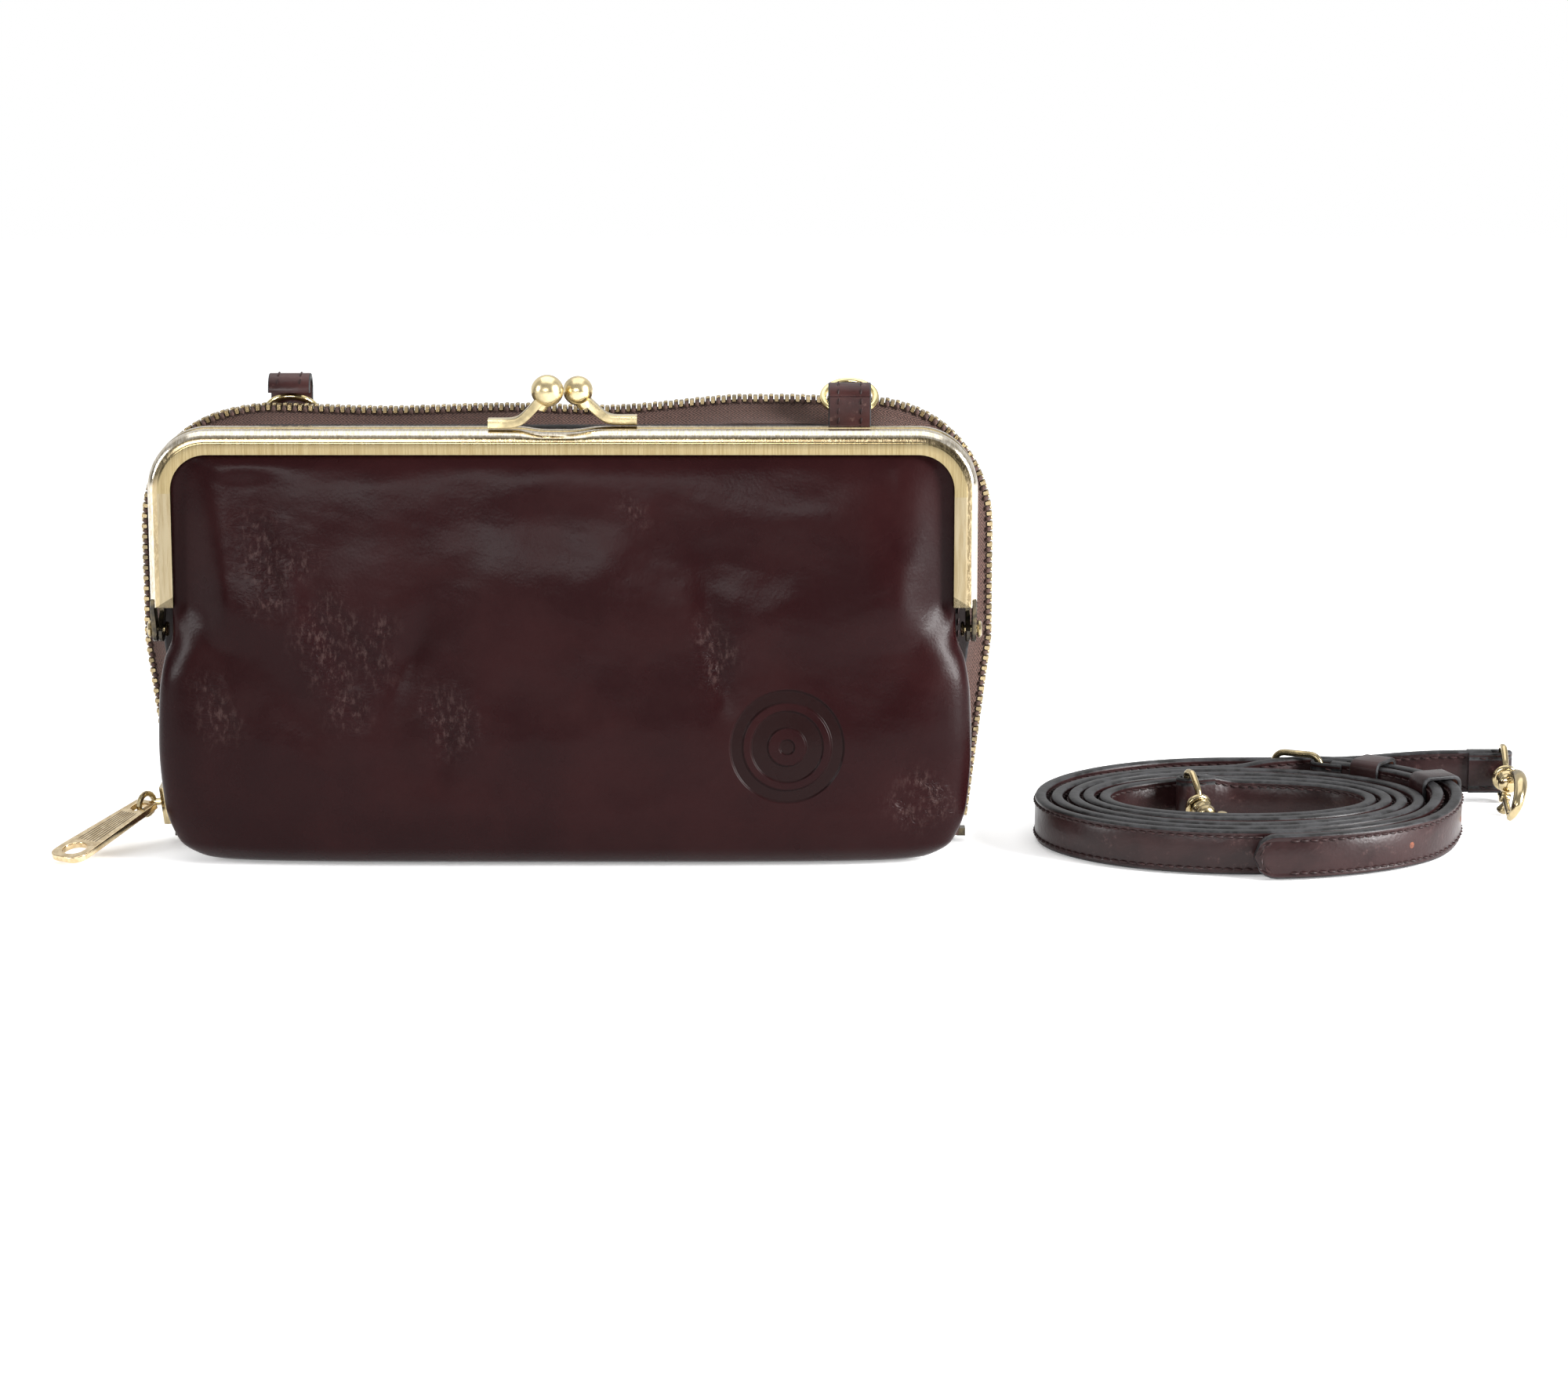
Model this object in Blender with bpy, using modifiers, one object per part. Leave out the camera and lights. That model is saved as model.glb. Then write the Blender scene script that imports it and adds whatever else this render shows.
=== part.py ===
"""Crossbody purse: a zip-around wallet with a kiss-lock pouch sewn to its front,
and a detached, coiled shoulder strap with a buckle and two swivel hooks.

Frame: +X right, +Y away from the pouch's front, +Z up.  The origin is the middle of
the wallet's flat base, under its zip.  Every length below is in millimetres, with y
measured from the gap between the pouch and the wallet; as_object() scales a mesh to
metres and moves it into the frame.
"""
import math

import bmesh
import bpy
from mathutils import Matrix, Vector

MM = 0.001
GAP = 0.3                      # clearance between pieces that touch

# wallet
WALLET_FRONT_Y = 1.0           # outer face of the front panel
PANEL = 2.0                    # thickness of the two outer panels
WALLET_DEPTH = 20.0
ZIP_Y = WALLET_FRONT_Y + WALLET_DEPTH / 2
ZIP_TOP = 107.0
ZIP_HALF = 100.3
ZIP_FOOT_X, ZIP_FOOT_Z = 94.5, 4.0
ZIP_KNEE_Z = 50.0
ZIP_CORNER = 30.0
PANEL_INSET = 5.0              # the panels' edge lies inside the teeth by this much
PANEL_FOOT_Z = 0.4
TEETH = 1.8
SPINE = 1.6
DATUM = Vector((0.0, ZIP_Y, 0.0))      # the frame's origin in these drawings
HINGE_Y = WALLET_FRONT_Y + WALLET_DEPTH - 1.0
HINGE_Z = 1.6

# kiss-lock frame
FRAME_HALF = 96.7
FRAME_TOP = 102.7
FRAME_FOOT = 60.0
FRAME_CORNER = 14.0
FRAME_FACE = 5.8
FRAME_DEPTH = 5.6
FRAME_SHEET = 1.1
PIVOT_Y, PIVOT_Z = -7.0, 55.0
FRAME_FRONT_Y = -10.0          # middle of the front half's channel
FRAME_REAR_Y = -4.0
EAR = 3.0
RIVET = 0.95
BALL_FRONT, BALL_REAR = 3.8, 3.5

# pouch
BAG_TOP = 48.0
LEATHER = 1.4
LINING = 0.5

# rings and their tabs
TAB = 10.0
TAB_LEATHER = 1.2
RING, RING_WIRE = 6.2, 0.8
TAB_RIGHT_X, TAB_LEFT_X = 66.9, -66.0

# strap
STRAP_W, STRAP_T = 10.6, 2.7
COIL_X, COIL_Y = 161.5, 10.0
COIL_A, COIL_B = 30.15, 17.5   # half axes of the innermost turn
PITCH = 3.8
TURNS = 4
LIFT = 1.9                     # the strap rides up where a metal loop passes under it
TIP_TURN, TIP_OFFSET = 4.0375, 5.1     # where the buckle's two bars stand in the coil
HEEL_TURN, HEEL_OFFSET = 4.0785, 4.6
SHORT_START = 4.089            # the short strap starts inside the buckle's chape
STRAIGHT_Y = 52.0
OUTER_BAR = Vector((230.5, STRAIGHT_Y, 0.0))
INNER_BAR = Vector((149.5, 23.5, 0.0))
BAR = 0.8
HOOK_MID_Z = LIFT + STRAP_W / 2


def collection(name):
    made = bpy.data.collections.new(name)
    bpy.context.scene.collection.children.link(made)
    return made


for old in list(bpy.data.objects):
    bpy.data.objects.remove(old, do_unlink=True)
PARTS = collection("crossbody_purse")
CUTTERS = collection("cutters")


def material(name, colour, roughness, metallic=0.0):
    made = bpy.data.materials.new(name)
    made.use_nodes = True
    shader = made.node_tree.nodes["Principled BSDF"]
    shader.inputs["Base Color"].default_value = (*colour, 1.0)
    shader.inputs["Roughness"].default_value = roughness
    shader.inputs["Metallic"].default_value = metallic
    return made


LEATHER_DARK = ("leather_dark", (0.045, 0.016, 0.014), 0.32)
LEATHER_BLACK = ("leather_black", (0.02, 0.018, 0.018), 0.5)
STRAP_LEATHER = ("leather_strap", (0.05, 0.022, 0.02), 0.35)
FABRIC_TAPE = ("zip_tape", (0.13, 0.08, 0.065), 0.85)
FABRIC_LINING = ("lining", (0.30, 0.22, 0.16), 0.9)
BRASS_BRUSHED = ("brass_brushed", (0.70, 0.56, 0.32), 0.3, 1.0)
BRASS_ANTIQUE = ("brass_antique", (0.62, 0.48, 0.24), 0.25, 1.0)
PAPER = ("paper_cord", (0.6, 0.5, 0.35), 0.9)


def as_object(name, mesh, look, pivot=(0, 0, 0), into=None):
    """Turn a millimetre mesh into an object in the frame whose origin is at pivot."""
    pivot = Vector(pivot)
    mesh.transform(Matrix.Scale(MM, 4) @ Matrix.Translation(-pivot))
    mesh.shade_smooth()
    mesh.set_sharp_from_angle(angle=math.radians(35))
    made = bpy.data.objects.new(name, mesh)
    made.location = (pivot - DATUM) * MM
    (into or PARTS).objects.link(made)
    if look:
        label = f"{name}_{look[0]}"
        mesh.materials.append(material(label, *look[1:]))
    return made


def mesh_from(bm):
    mesh = bpy.data.meshes.new("shape")
    bm.to_mesh(mesh)
    bm.free()
    return mesh


def welded(mesh):
    bm = bmesh.new()
    bm.from_mesh(mesh)
    bmesh.ops.remove_doubles(bm, verts=bm.verts, dist=0.001)
    bmesh.ops.recalc_face_normals(bm, faces=bm.faces)
    bm.to_mesh(mesh)
    bm.free()
    return mesh


def curve_mesh(curve, guide=None):
    """The welded mesh of a curve, which is then removed."""
    holder = bpy.data.objects.new("holder", curve)
    CUTTERS.objects.link(holder)
    bpy.context.view_layer.update()
    graph = bpy.context.evaluated_depsgraph_get()
    mesh = bpy.data.meshes.new_from_object(holder.evaluated_get(graph))
    bpy.data.objects.remove(holder)
    if guide:
        bpy.data.objects.remove(guide)
    return welded(mesh)


def spline(curve, points, cyclic):
    made = curve.splines.new("POLY")
    made.points.add(len(points) - 1)
    for slot, point in zip(made.points, points):
        slot.co = (*Vector(point).to_3d(), 1.0)
    made.use_cyclic_u = cyclic


def wire(points, radius, cyclic=False, sides=2):
    """A round rod along points."""
    curve = bpy.data.curves.new("wire", "CURVE")
    curve.dimensions = "3D"
    curve.bevel_depth = radius
    curve.bevel_resolution = sides
    curve.use_fill_caps = not cyclic
    spline(curve, points, cyclic)
    return curve_mesh(curve)


def plate(outlines, thickness):
    """A flat outline in the XY plane, with any holes, centred on Z."""
    curve = bpy.data.curves.new("plate", "CURVE")
    curve.dimensions = "2D"
    curve.fill_mode = "BOTH"
    curve.extrude = thickness / 2
    for outline in outlines:
        spline(curve, outline, True)
    return curve_mesh(curve)


def standing(mesh, y):
    """Stand an XY outline up in the XZ plane, its middle at y."""
    mesh.transform(Matrix.Translation((0, y, 0)) @ Matrix.Rotation(math.pi / 2, 4, "X"))
    return mesh


def sideways(mesh, x):
    """Turn an outline drawn as (y, z) to face along X, its middle at x."""
    turn = Matrix(((0, 0, 1, x), (1, 0, 0, 0), (0, 1, 0, 0), (0, 0, 0, 1)))
    mesh.transform(turn)
    return mesh


def swept(path, section, y):
    """Sweep a closed section (outward, y) along an arch drawn as (x, z)."""
    profile = bpy.data.curves.new("section", "CURVE")
    profile.dimensions = "2D"
    spline(profile, [(-outward, -depth) for outward, depth in section], True)
    guide = bpy.data.objects.new("section", profile)
    CUTTERS.objects.link(guide)
    curve = bpy.data.curves.new("sweep", "CURVE")
    curve.dimensions = "2D"
    curve.fill_mode = "NONE"
    curve.bevel_mode = "OBJECT"
    curve.bevel_object = guide
    curve.use_fill_caps = True
    spline(curve, path, False)
    return standing(curve_mesh(curve, guide), y)


def cylinder(start, end, radius, sides=20, tip=None):
    start, end = Vector(start), Vector(end)
    along = end - start
    bm = bmesh.new()
    turn = along.to_track_quat("Z", "Y").to_matrix().to_4x4()
    place = Matrix.Translation((start + end) / 2) @ turn
    bmesh.ops.create_cone(bm, cap_ends=True, segments=sides, radius1=radius,
                          radius2=radius if tip is None else tip,
                          depth=along.length, matrix=place)
    return mesh_from(bm)


def ball(centre, radius, sides=20, rings=12):
    bm = bmesh.new()
    bmesh.ops.create_uvsphere(bm, u_segments=sides, v_segments=rings, radius=radius,
                              matrix=Matrix.Translation(centre))
    return mesh_from(bm)


def block(low, high):
    low, high = Vector(low), Vector(high)
    bm = bmesh.new()
    size = high - low
    place = Matrix.Translation((low + high) / 2) @ Matrix.Diagonal((*size, 1))
    bmesh.ops.create_cube(bm, size=1.0, matrix=place)
    return mesh_from(bm)


def torus(centre, major, minor, normal, around=28, sides=10):
    """A round ring, made as a closed wire, whose axis is normal."""
    turn = Vector(normal).to_track_quat("Z", "Y")
    angles = [2 * math.pi * k / around for k in range(around)]
    points = [Vector(centre) + turn @ Vector((major * math.cos(a), major * math.sin(a), 0))
              for a in angles]
    return wire(points, minor, cyclic=True, sides=(sides - 4) // 2)


def strip(lower, upper, cyclic=False):
    """An open band between two rows of points, to be thickened by solidify()."""
    bm = bmesh.new()
    row = [bm.verts.new(p) for p in lower]
    pairs = list(zip(row, row[1:])) + ([(row[-1], row[0])] if cyclic else [])
    edges = [bm.edges.new(pair) for pair in pairs]
    copied = bmesh.ops.extrude_edge_only(bm, edges=edges)["geom"]
    fresh = [g for g in copied if isinstance(g, bmesh.types.BMVert)]
    for old, target in zip(row, upper):
        twin = next(e.other_vert(old) for e in old.link_edges if e.other_vert(old) in fresh)
        twin.co = target
    return mesh_from(bm)


def solidify(made, thickness, offset=0.0):
    thick = made.modifiers.new("thickness", "SOLIDIFY")
    thick.thickness = thickness * MM
    thick.offset = offset
    thick.use_even_offset = True
    return made


def bevel(made, width, segments=2):
    edge = made.modifiers.new("edges", "BEVEL")
    edge.width = width * MM
    edge.segments = segments
    edge.limit_method = "ANGLE"
    edge.angle_limit = math.radians(50)
    return made


def combine(made, mesh, operation="UNION"):
    """Join a millimetre mesh to an object, or cut it out."""
    tool = as_object(f"{made.name}_{operation.lower()}", mesh, None, into=CUTTERS)
    tool.hide_render = True
    tool.display_type = "WIRE"
    cut = made.modifiers.new(operation.lower(), "BOOLEAN")
    cut.operation = operation
    cut.object = tool
    cut.solver = "EXACT"
    return made


def arc(centre, radius, start, end, steps):
    """Points of an arc about (x, y), angles in degrees, both ends included."""
    angles = [math.radians(start + (end - start) * k / steps) for k in range(steps + 1)]
    return [(centre[0] + radius * math.cos(a), centre[1] + radius * math.sin(a))
            for a in angles]


def smooth(low, high, value):
    """0 below low, 1 above high, with level ends between."""
    t = min(1.0, max(0.0, (value - low) / (high - low)))
    return t * t * (3 - 2 * t)


# ---------------------------------------------------------------- outlines

def zip_arch(inset=0.0, foot=ZIP_FOOT_Z, left_foot=None):
    """The zip's inverted U, left foot to right foot, as (x, z)."""
    corner = (ZIP_HALF - ZIP_CORNER, ZIP_TOP - ZIP_CORNER)
    slope = (ZIP_HALF - ZIP_FOOT_X) / (ZIP_KNEE_Z - ZIP_FOOT_Z)

    def side(z):
        return ZIP_HALF - slope * max(0.0, ZIP_KNEE_Z - z) - inset

    heights = [foot, (foot + ZIP_KNEE_Z) / 2, ZIP_KNEE_Z, (ZIP_KNEE_Z + corner[1]) / 2]
    right = [(side(z), z) for z in heights]
    right += arc(corner, ZIP_CORNER - inset, 0, 90, 10)
    if left_foot is None:
        left_foot = foot
    left = [(-x, z) for x, z in right if z > left_foot]
    left = [(-side(left_foot), left_foot)] + left
    return left + [(0.0, ZIP_TOP - inset)] + right[::-1]


def frame_arch(inset=0.0, foot=FRAME_FOOT):
    """The metal frame's inverted U, left leg to right leg, as (x, z)."""
    corner = (FRAME_HALF - FRAME_CORNER, FRAME_TOP - FRAME_CORNER)
    right = [(FRAME_HALF - inset, foot)]
    right += arc(corner, FRAME_CORNER - inset, 0, 90, 8)
    left = [(-x, z) for x, z in right]
    return left + [(0.0, FRAME_TOP - inset)] + right[::-1]


# ---------------------------------------------------------------- wallet

def wallet_panel(name, middle_y, pivot):
    """A stiff outer panel whose edge stands inside the zip's arch."""
    outline = zip_arch(PANEL_INSET, PANEL_FOOT_Z)
    return as_object(name, standing(plate([outline], PANEL), middle_y), LEATHER_BLACK, pivot)


def inner_sheet(name, low_y, high_y, inset, foot, top, look, pivot):
    """A lining or card pocket on the inside of a panel, cut level at top."""
    outline = [(x, min(z, top)) for x, z in zip_arch(inset, foot)]
    trimmed = [p for k, p in enumerate(outline) if k == 0 or p != outline[k - 1]]
    middle = (low_y + high_y) / 2
    return as_object(name, standing(plate([trimmed], high_y - low_y), middle), look, pivot)


def tape(name, near, pivot, left_foot=None):
    """Half of the zip's tape: from a panel's edge up to its row of teeth.

    near is -1 for the front half and +1 for the rear half.
    """
    edge = ZIP_Y + near * (WALLET_DEPTH / 2 - PANEL - GAP)
    crest = ZIP_Y + near * 1.9
    low = -(PANEL_INSET - 0.1)
    high = -1.2
    section = [(low, edge), (low - 0.7, edge), (high - 0.7, crest), (high, crest)]
    path = zip_arch(0.0, left_foot=left_foot)
    return as_object(name, swept(path, section, 0.0), FABRIC_TAPE, pivot)


def teeth(name, near, pivot, left_foot=None):
    """One half's row of teeth, drawn as a single band; near is as for tape()."""
    half = TEETH / 2
    inner = ZIP_Y + near * GAP / 2
    outer = ZIP_Y + near * 1.6
    section = [(-half, inner), (half, inner), (half, outer), (-half, outer)]
    path = zip_arch(0.0, left_foot=left_foot)
    return as_object(name, swept(path, section, 0.0), BRASS_ANTIQUE, pivot)


BACK = (0.0, HINGE_Y, HINGE_Z)
REST = (0.0, 0.0, 0.0)
BACK_Y = WALLET_FRONT_Y + WALLET_DEPTH
REAR_FOOT = 16.0               # the rear half starts above the slider's rest place

wallet_panel("wallet_front_panel", WALLET_FRONT_Y + PANEL / 2, REST)
wallet_panel("wallet_back_panel", BACK_Y - PANEL / 2, BACK)
spine_low = (-(ZIP_FOOT_X - PANEL_INSET - 3), WALLET_FRONT_Y + PANEL + GAP, 0.0)
spine_high = (ZIP_FOOT_X - PANEL_INSET - 3, BACK_Y - PANEL - 2 * GAP, SPINE)
bevel(as_object("wallet_spine", block(spine_low, spine_high), LEATHER_BLACK), 0.3, 1)
inner_y = WALLET_FRONT_Y + PANEL + GAP
inner_sheet("wallet_front_lining", inner_y, inner_y + 0.6, 8.0, 2.2, 98.0, FABRIC_LINING, REST)
inner_sheet("card_pocket_front", inner_y + 0.9, inner_y + 2.4, 12.0, 3.0, 66.0,
            LEATHER_DARK, REST)
rear_y = BACK_Y - PANEL - GAP
inner_sheet("wallet_back_lining", rear_y - 0.6, rear_y, 8.0, 2.2, 98.0, FABRIC_LINING, BACK)
inner_sheet("card_pocket_back", rear_y - 2.4, rear_y - 0.9, 12.0, 3.6, 66.0,
            LEATHER_DARK, BACK)
tape("zip_tape_front", -1, REST)
teeth("zip_teeth_front", -1, REST)
tape("zip_tape_back", 1, BACK, REAR_FOOT)
teeth("zip_teeth_back", 1, BACK, REAR_FOOT)


# ---------------------------------------------------------------- slider and puller

ZIP_SLOPE = Vector((-(ZIP_HALF - ZIP_FOOT_X), 0, ZIP_KNEE_Z - ZIP_FOOT_Z)).normalized()
ZIP_OUT = Vector((-ZIP_SLOPE.z, 0, ZIP_SLOPE.x))
SLIDER_AT = Vector((-ZIP_FOOT_X, ZIP_Y, ZIP_FOOT_Z)) + ZIP_SLOPE * 5.2
SLIDER_LENGTH = 9.0
PULL_RING, PULL_WIRE = 2.6, 0.7
PULL_REACH = 30.5              # from the pivot to the puller's tip
PULL_THICK = 1.8
PULL_DIRECTION = Vector((-0.56, -0.79, -0.255)).normalized()
PULL_AXIS = Vector((-PULL_DIRECTION.y, PULL_DIRECTION.x, 0)).normalized()
PULL_FLAT = Vector((PULL_DIRECTION.x, PULL_DIRECTION.y, 0)).normalized()
PULL_AT = SLIDER_AT + ZIP_OUT * 5.5 - PULL_FLAT * -2.0 + Vector((0, 0, 0.3))


def axes_matrix(x_axis, y_axis, z_axis, at):
    rows = [[x_axis[k], y_axis[k], z_axis[k], at[k]] for k in range(3)]
    return Matrix(rows + [[0, 0, 0, 1]])


def slider():
    """A saddle over the teeth with a lug and a loop for the puller."""
    outline = [(-4.3, -0.3), (-3.0, -0.3), (-3.0, 1.3), (3.0, 1.3), (3.0, -0.3),
               (4.3, -0.3), (4.3, 1.9), (3.4, 2.8), (-3.4, 2.8), (-4.3, 1.9)]
    mesh = plate([outline], SLIDER_LENGTH)
    across = Vector((0, 1, 0))
    mesh.transform(axes_matrix(across, ZIP_OUT, across.cross(ZIP_OUT), SLIDER_AT))
    made = as_object("zip_slider", welded(mesh), BRASS_ANTIQUE, SLIDER_AT)
    heel = PULL_AT - PULL_FLAT * PULL_RING
    root = heel - ZIP_OUT * (heel - SLIDER_AT).dot(ZIP_OUT) + ZIP_OUT * 2.0
    combine(made, torus(PULL_AT, PULL_RING, PULL_WIRE, PULL_AXIS, around=20))
    return combine(made, cylinder(root, heel, 0.9, 12))


def puller():
    """A flat tapered tab, its slotted end round the slider's loop."""
    root, tip = 3.3, 5.0
    reach = PULL_REACH
    body = [(-0.75, -root + 0.8), (-0.1, -root), (reach - 6, -tip), (reach - 1.6, -tip + 0.4)]
    body += [(reach - 0.4, -tip / 2), (reach, 0.0), (reach - 0.4, tip / 2)]
    body += [(reach - 1.6, tip - 0.4), (reach - 6, tip), (-0.1, root), (-0.75, root - 0.8)]
    slot = [(0.75, -1.7), (3.2, -1.7)] + arc((3.2, 0), 1.7, -60, 60, 6) + [(3.2, 1.7), (0.75, 1.7)]
    grip = [(reach - 2.4, -2.9), (reach - 2.0, 0), (reach - 2.4, 2.9)]
    grip += arc((reach - 5.0, 0), 3.2, 120, 240, 6)
    mesh = plate([body, slot, grip], PULL_THICK)
    up = PULL_DIRECTION.cross(PULL_AXIS)
    mesh.transform(axes_matrix(PULL_DIRECTION, PULL_AXIS, up, PULL_AT))
    return as_object("zip_puller", welded(mesh), BRASS_BRUSHED, PULL_AT)


slider()
puller()


def end_stops():
    """A brass stop below the teeth at each end of the zip."""
    for side in (-1, 1):
        foot = Vector((side * (ZIP_FOOT_X - 0.4), ZIP_Y, 1.9))
        low = foot - Vector((1.0, 1.6, 0.9))
        high = foot + Vector((1.0, 1.6, 0.9))
        name = "zip_stop_left" if side < 0 else "zip_stop_right"
        as_object(name, block(low, high), BRASS_ANTIQUE)


end_stops()


# ---------------------------------------------------------------- kiss-lock frame

def channel():
    """Section of the frame's channel, open towards the pouch."""
    half, sheet = FRAME_DEPTH / 2, FRAME_SHEET
    return [(0, -half + 1.0), (0, half - 1.0), (-1.0, half), (-FRAME_FACE, half),
            (-FRAME_FACE, half - sheet), (-sheet, half - sheet),
            (-sheet, -half + sheet), (-FRAME_FACE, -half + sheet),
            (-FRAME_FACE, -half), (-1.0, -half)]


def ear(leg_low_y, leg_high_y):
    """A hinge ear as (y, z): round at the pivot, as wide as the leg above."""
    top = FRAME_FOOT + 3.0
    lower = arc((PIVOT_Y, PIVOT_Z), EAR, 180, 360, 10)
    shoulder = FRAME_FOOT - 0.7
    return lower + [(leg_high_y, shoulder), (leg_high_y, top), (leg_low_y, top),
                    (leg_low_y, shoulder)]


def frame_half(name, middle_y, ear_x, pivot):
    made = as_object(name, swept(frame_arch(), channel(), middle_y), BRASS_BRUSHED, pivot)
    half = FRAME_DEPTH / 2
    low, high = middle_y - half + 0.3, middle_y + half - 0.35
    for side in (-1, 1):
        middle = side * (ear_x[0] + ear_x[1]) / 2
        combine(made, sideways(plate([ear(low, high)], ear_x[1] - ear_x[0]), middle))
    for side in (-1, 1):
        ends = [(side * x, PIVOT_Y, PIVOT_Z) for x in (ear_x[0] - 1, ear_x[1] + 1)]
        combine(made, cylinder(*ends, RIVET + GAP, 16), "DIFFERENCE")
    return made


PIVOT = (0.0, PIVOT_Y, PIVOT_Z)
frame_half("frame_front", FRAME_FRONT_Y, (95.5, 96.6), PIVOT)
frame_half("frame_rear", FRAME_REAR_Y, (94.15, 95.25), REST)


def rivet(side):
    name = "hinge_rivet_left" if side < 0 else "hinge_rivet_right"
    ends = [(side * x, PIVOT_Y, PIVOT_Z) for x in (93.0, 97.6)]
    made = as_object(name, cylinder(*ends, RIVET, 16), BRASS_ANTIQUE)
    for low, high, radius in ((92.7, 93.8, 1.9), (97.0, 98.0, 2.1)):
        ends = [(side * x, PIVOT_Y, PIVOT_Z) for x in (low, high)]
        combine(made, cylinder(*ends, radius, 16, tip=radius * 0.8))
    return made


rivet(-1)
rivet(1)


def clasp(name, side, ball_at, radius, middle_y, pivot):
    """A flat bent arm on the frame's top that ends in a ball."""
    width = 3.6
    foot_z = FRAME_TOP + GAP + 1.2
    bend = [(side * 17.2, foot_z), (side * 11.0, foot_z), (side * 9.2, foot_z + 0.7),
            (side * 7.8, foot_z + 2.2), (ball_at[0] + side * 1.0, ball_at[2] - 1.4)]
    lower = [(x, middle_y - width / 2, z) for x, z in bend]
    upper = [(x, middle_y + width / 2, z) for x, z in bend]
    made = as_object(name, strip(lower, upper), BRASS_ANTIQUE, pivot)
    solidify(made, 2.2)
    return combine(made, ball(ball_at, radius))


clasp("kiss_lock_front", -1, (-3.4, -9.4, 111.7), BALL_FRONT, FRAME_FRONT_Y + 0.4, PIVOT)
clasp("kiss_lock_rear", 1, (3.5, -5.0, 111.1), BALL_REAR, FRAME_REAR_Y - 0.4, REST)


def upper_leather(name, middle_y, foot, pivot):
    """The sheet of pouch leather gripped in one half of the frame."""
    outline = frame_arch(3.1, foot)
    return as_object(name, standing(plate([outline], 1.2), middle_y), LEATHER_DARK, pivot)


def packing_cord(name, middle_y, pivot):
    """The paper cord that wedges the leather in the channel."""
    path = [Vector((x, middle_y, z)) for x, z in frame_arch(3.4, 68.0)]
    return as_object(name, wire(path, 0.35), PAPER, pivot)


upper_leather("pouch_front_upper", FRAME_FRONT_Y, 62.0, PIVOT)
upper_leather("pouch_back_upper", FRAME_REAR_Y, BAG_TOP + 1.0, REST)
packing_cord("frame_cord_front", FRAME_FRONT_Y + 1.2, PIVOT)
packing_cord("frame_cord_rear", FRAME_REAR_Y + 1.2, REST)


# ---------------------------------------------------------------- pouch

BAG_RINGS = [                  # height, half width, front y, back y
    (0.0, 80.0, -14.5, -4.5),
    (1.2, 86.0, -17.0, -2.2),
    (5.0, 91.5, -19.6, -0.8),
    (14.0, 94.8, -21.0, -0.4),
    (28.0, 95.8, -20.6, -0.4),
    (40.0, 95.4, -18.4, -1.0),
    (BAG_TOP, 94.2, -16.0, -1.6),
]


def bag_ring(z, half, front, back, count=36):
    """One level of the pouch: a rounded oblong."""
    points = []
    for k in range(count):
        a = 2 * math.pi * k / count
        c, s = math.cos(a), math.sin(a)
        x = half * math.copysign(abs(c) ** 0.4, c)
        y = (front + back) / 2 + (back - front) / 2 * math.copysign(abs(s) ** 0.8, s)
        points.append((x, y, z))
    return points


def bag(name, inset, lift, top, thickness, look):
    """A pouch open at the top; the wall is thickened inwards."""
    bm = bmesh.new()
    rows = []
    for z, half, front, back in BAG_RINGS:
        level = min(z + lift, top)
        ring = bag_ring(level, half - inset, front + inset, back - inset)
        rows.append([bm.verts.new(p) for p in ring])
    for lower, upper in zip(rows, rows[1:]):
        edges = [(lower[k], lower[(k + 1) % len(lower)]) for k in range(len(lower))]
        tops = [(upper[k], upper[(k + 1) % len(upper)]) for k in range(len(upper))]
        for (a, b), (c, d) in zip(edges, tops):
            bm.faces.new((a, b, d, c))
    bm.faces.new(rows[0][::-1])
    made = as_object(name, mesh_from(bm), look)
    return solidify(made, thickness, offset=-1.0)


bag("pouch_bag", 0.0, 0.1, BAG_TOP, LEATHER, LEATHER_DARK)
bag("pouch_lining", LEATHER + 1.9, LEATHER + 1.4, BAG_TOP - 1.0, LINING, FABRIC_LINING)


# ---------------------------------------------------------------- rings and tabs

RING_SAGITTA = RING - math.sqrt(RING ** 2 - (TAB / 2) ** 2)
TUNNEL = 2.5                   # half the space between a tab's two layers
RING_AXIS_Z = 105.4
TAB_TOP, TAB_FOOT = 111.2, 88.0
LEFT_BULGE = 1.0


def tab(name, x, layer_y, fold_y, bulge, pivot):
    """A leather tab turned over at the top: layer_y is its sewn layer, fold_y its free one.

    bulge is how far the sewn layer stands out beside the ring.
    """
    side = 1 if layer_y > fold_y else -1
    outer = layer_y + side * bulge
    centre, radius = (outer + fold_y) / 2, abs(fold_y - outer) / 2
    over = arc((centre, TAB_TOP - radius), radius, 0, 180, 8)
    if side < 0:
        over.reverse()
    profile = [(layer_y, TAB_FOOT), (layer_y, TAB_FOOT + 11.0)] + over
    lower = [(x - TAB / 2, y, z) for y, z in profile]
    upper = [(x + TAB / 2, y, z) for y, z in profile]
    return solidify(as_object(name, strip(lower, upper), LEATHER_DARK, pivot), TAB_LEATHER)


def ring(name, x, axis_y, lean):
    """A round ring through a tab; lean is its angle from upright towards +Y."""
    a = math.radians(lean)
    along = Vector((0, math.sin(a), math.cos(a)))
    axis = Vector((x, axis_y, RING_AXIS_Z))
    centre = axis + along * (RING - RING_SAGITTA / 2)
    normal = along.cross(Vector((1, 0, 0)))
    return as_object(name, torus(centre, RING, RING_WIRE, normal), BRASS_BRUSHED, axis)


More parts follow.
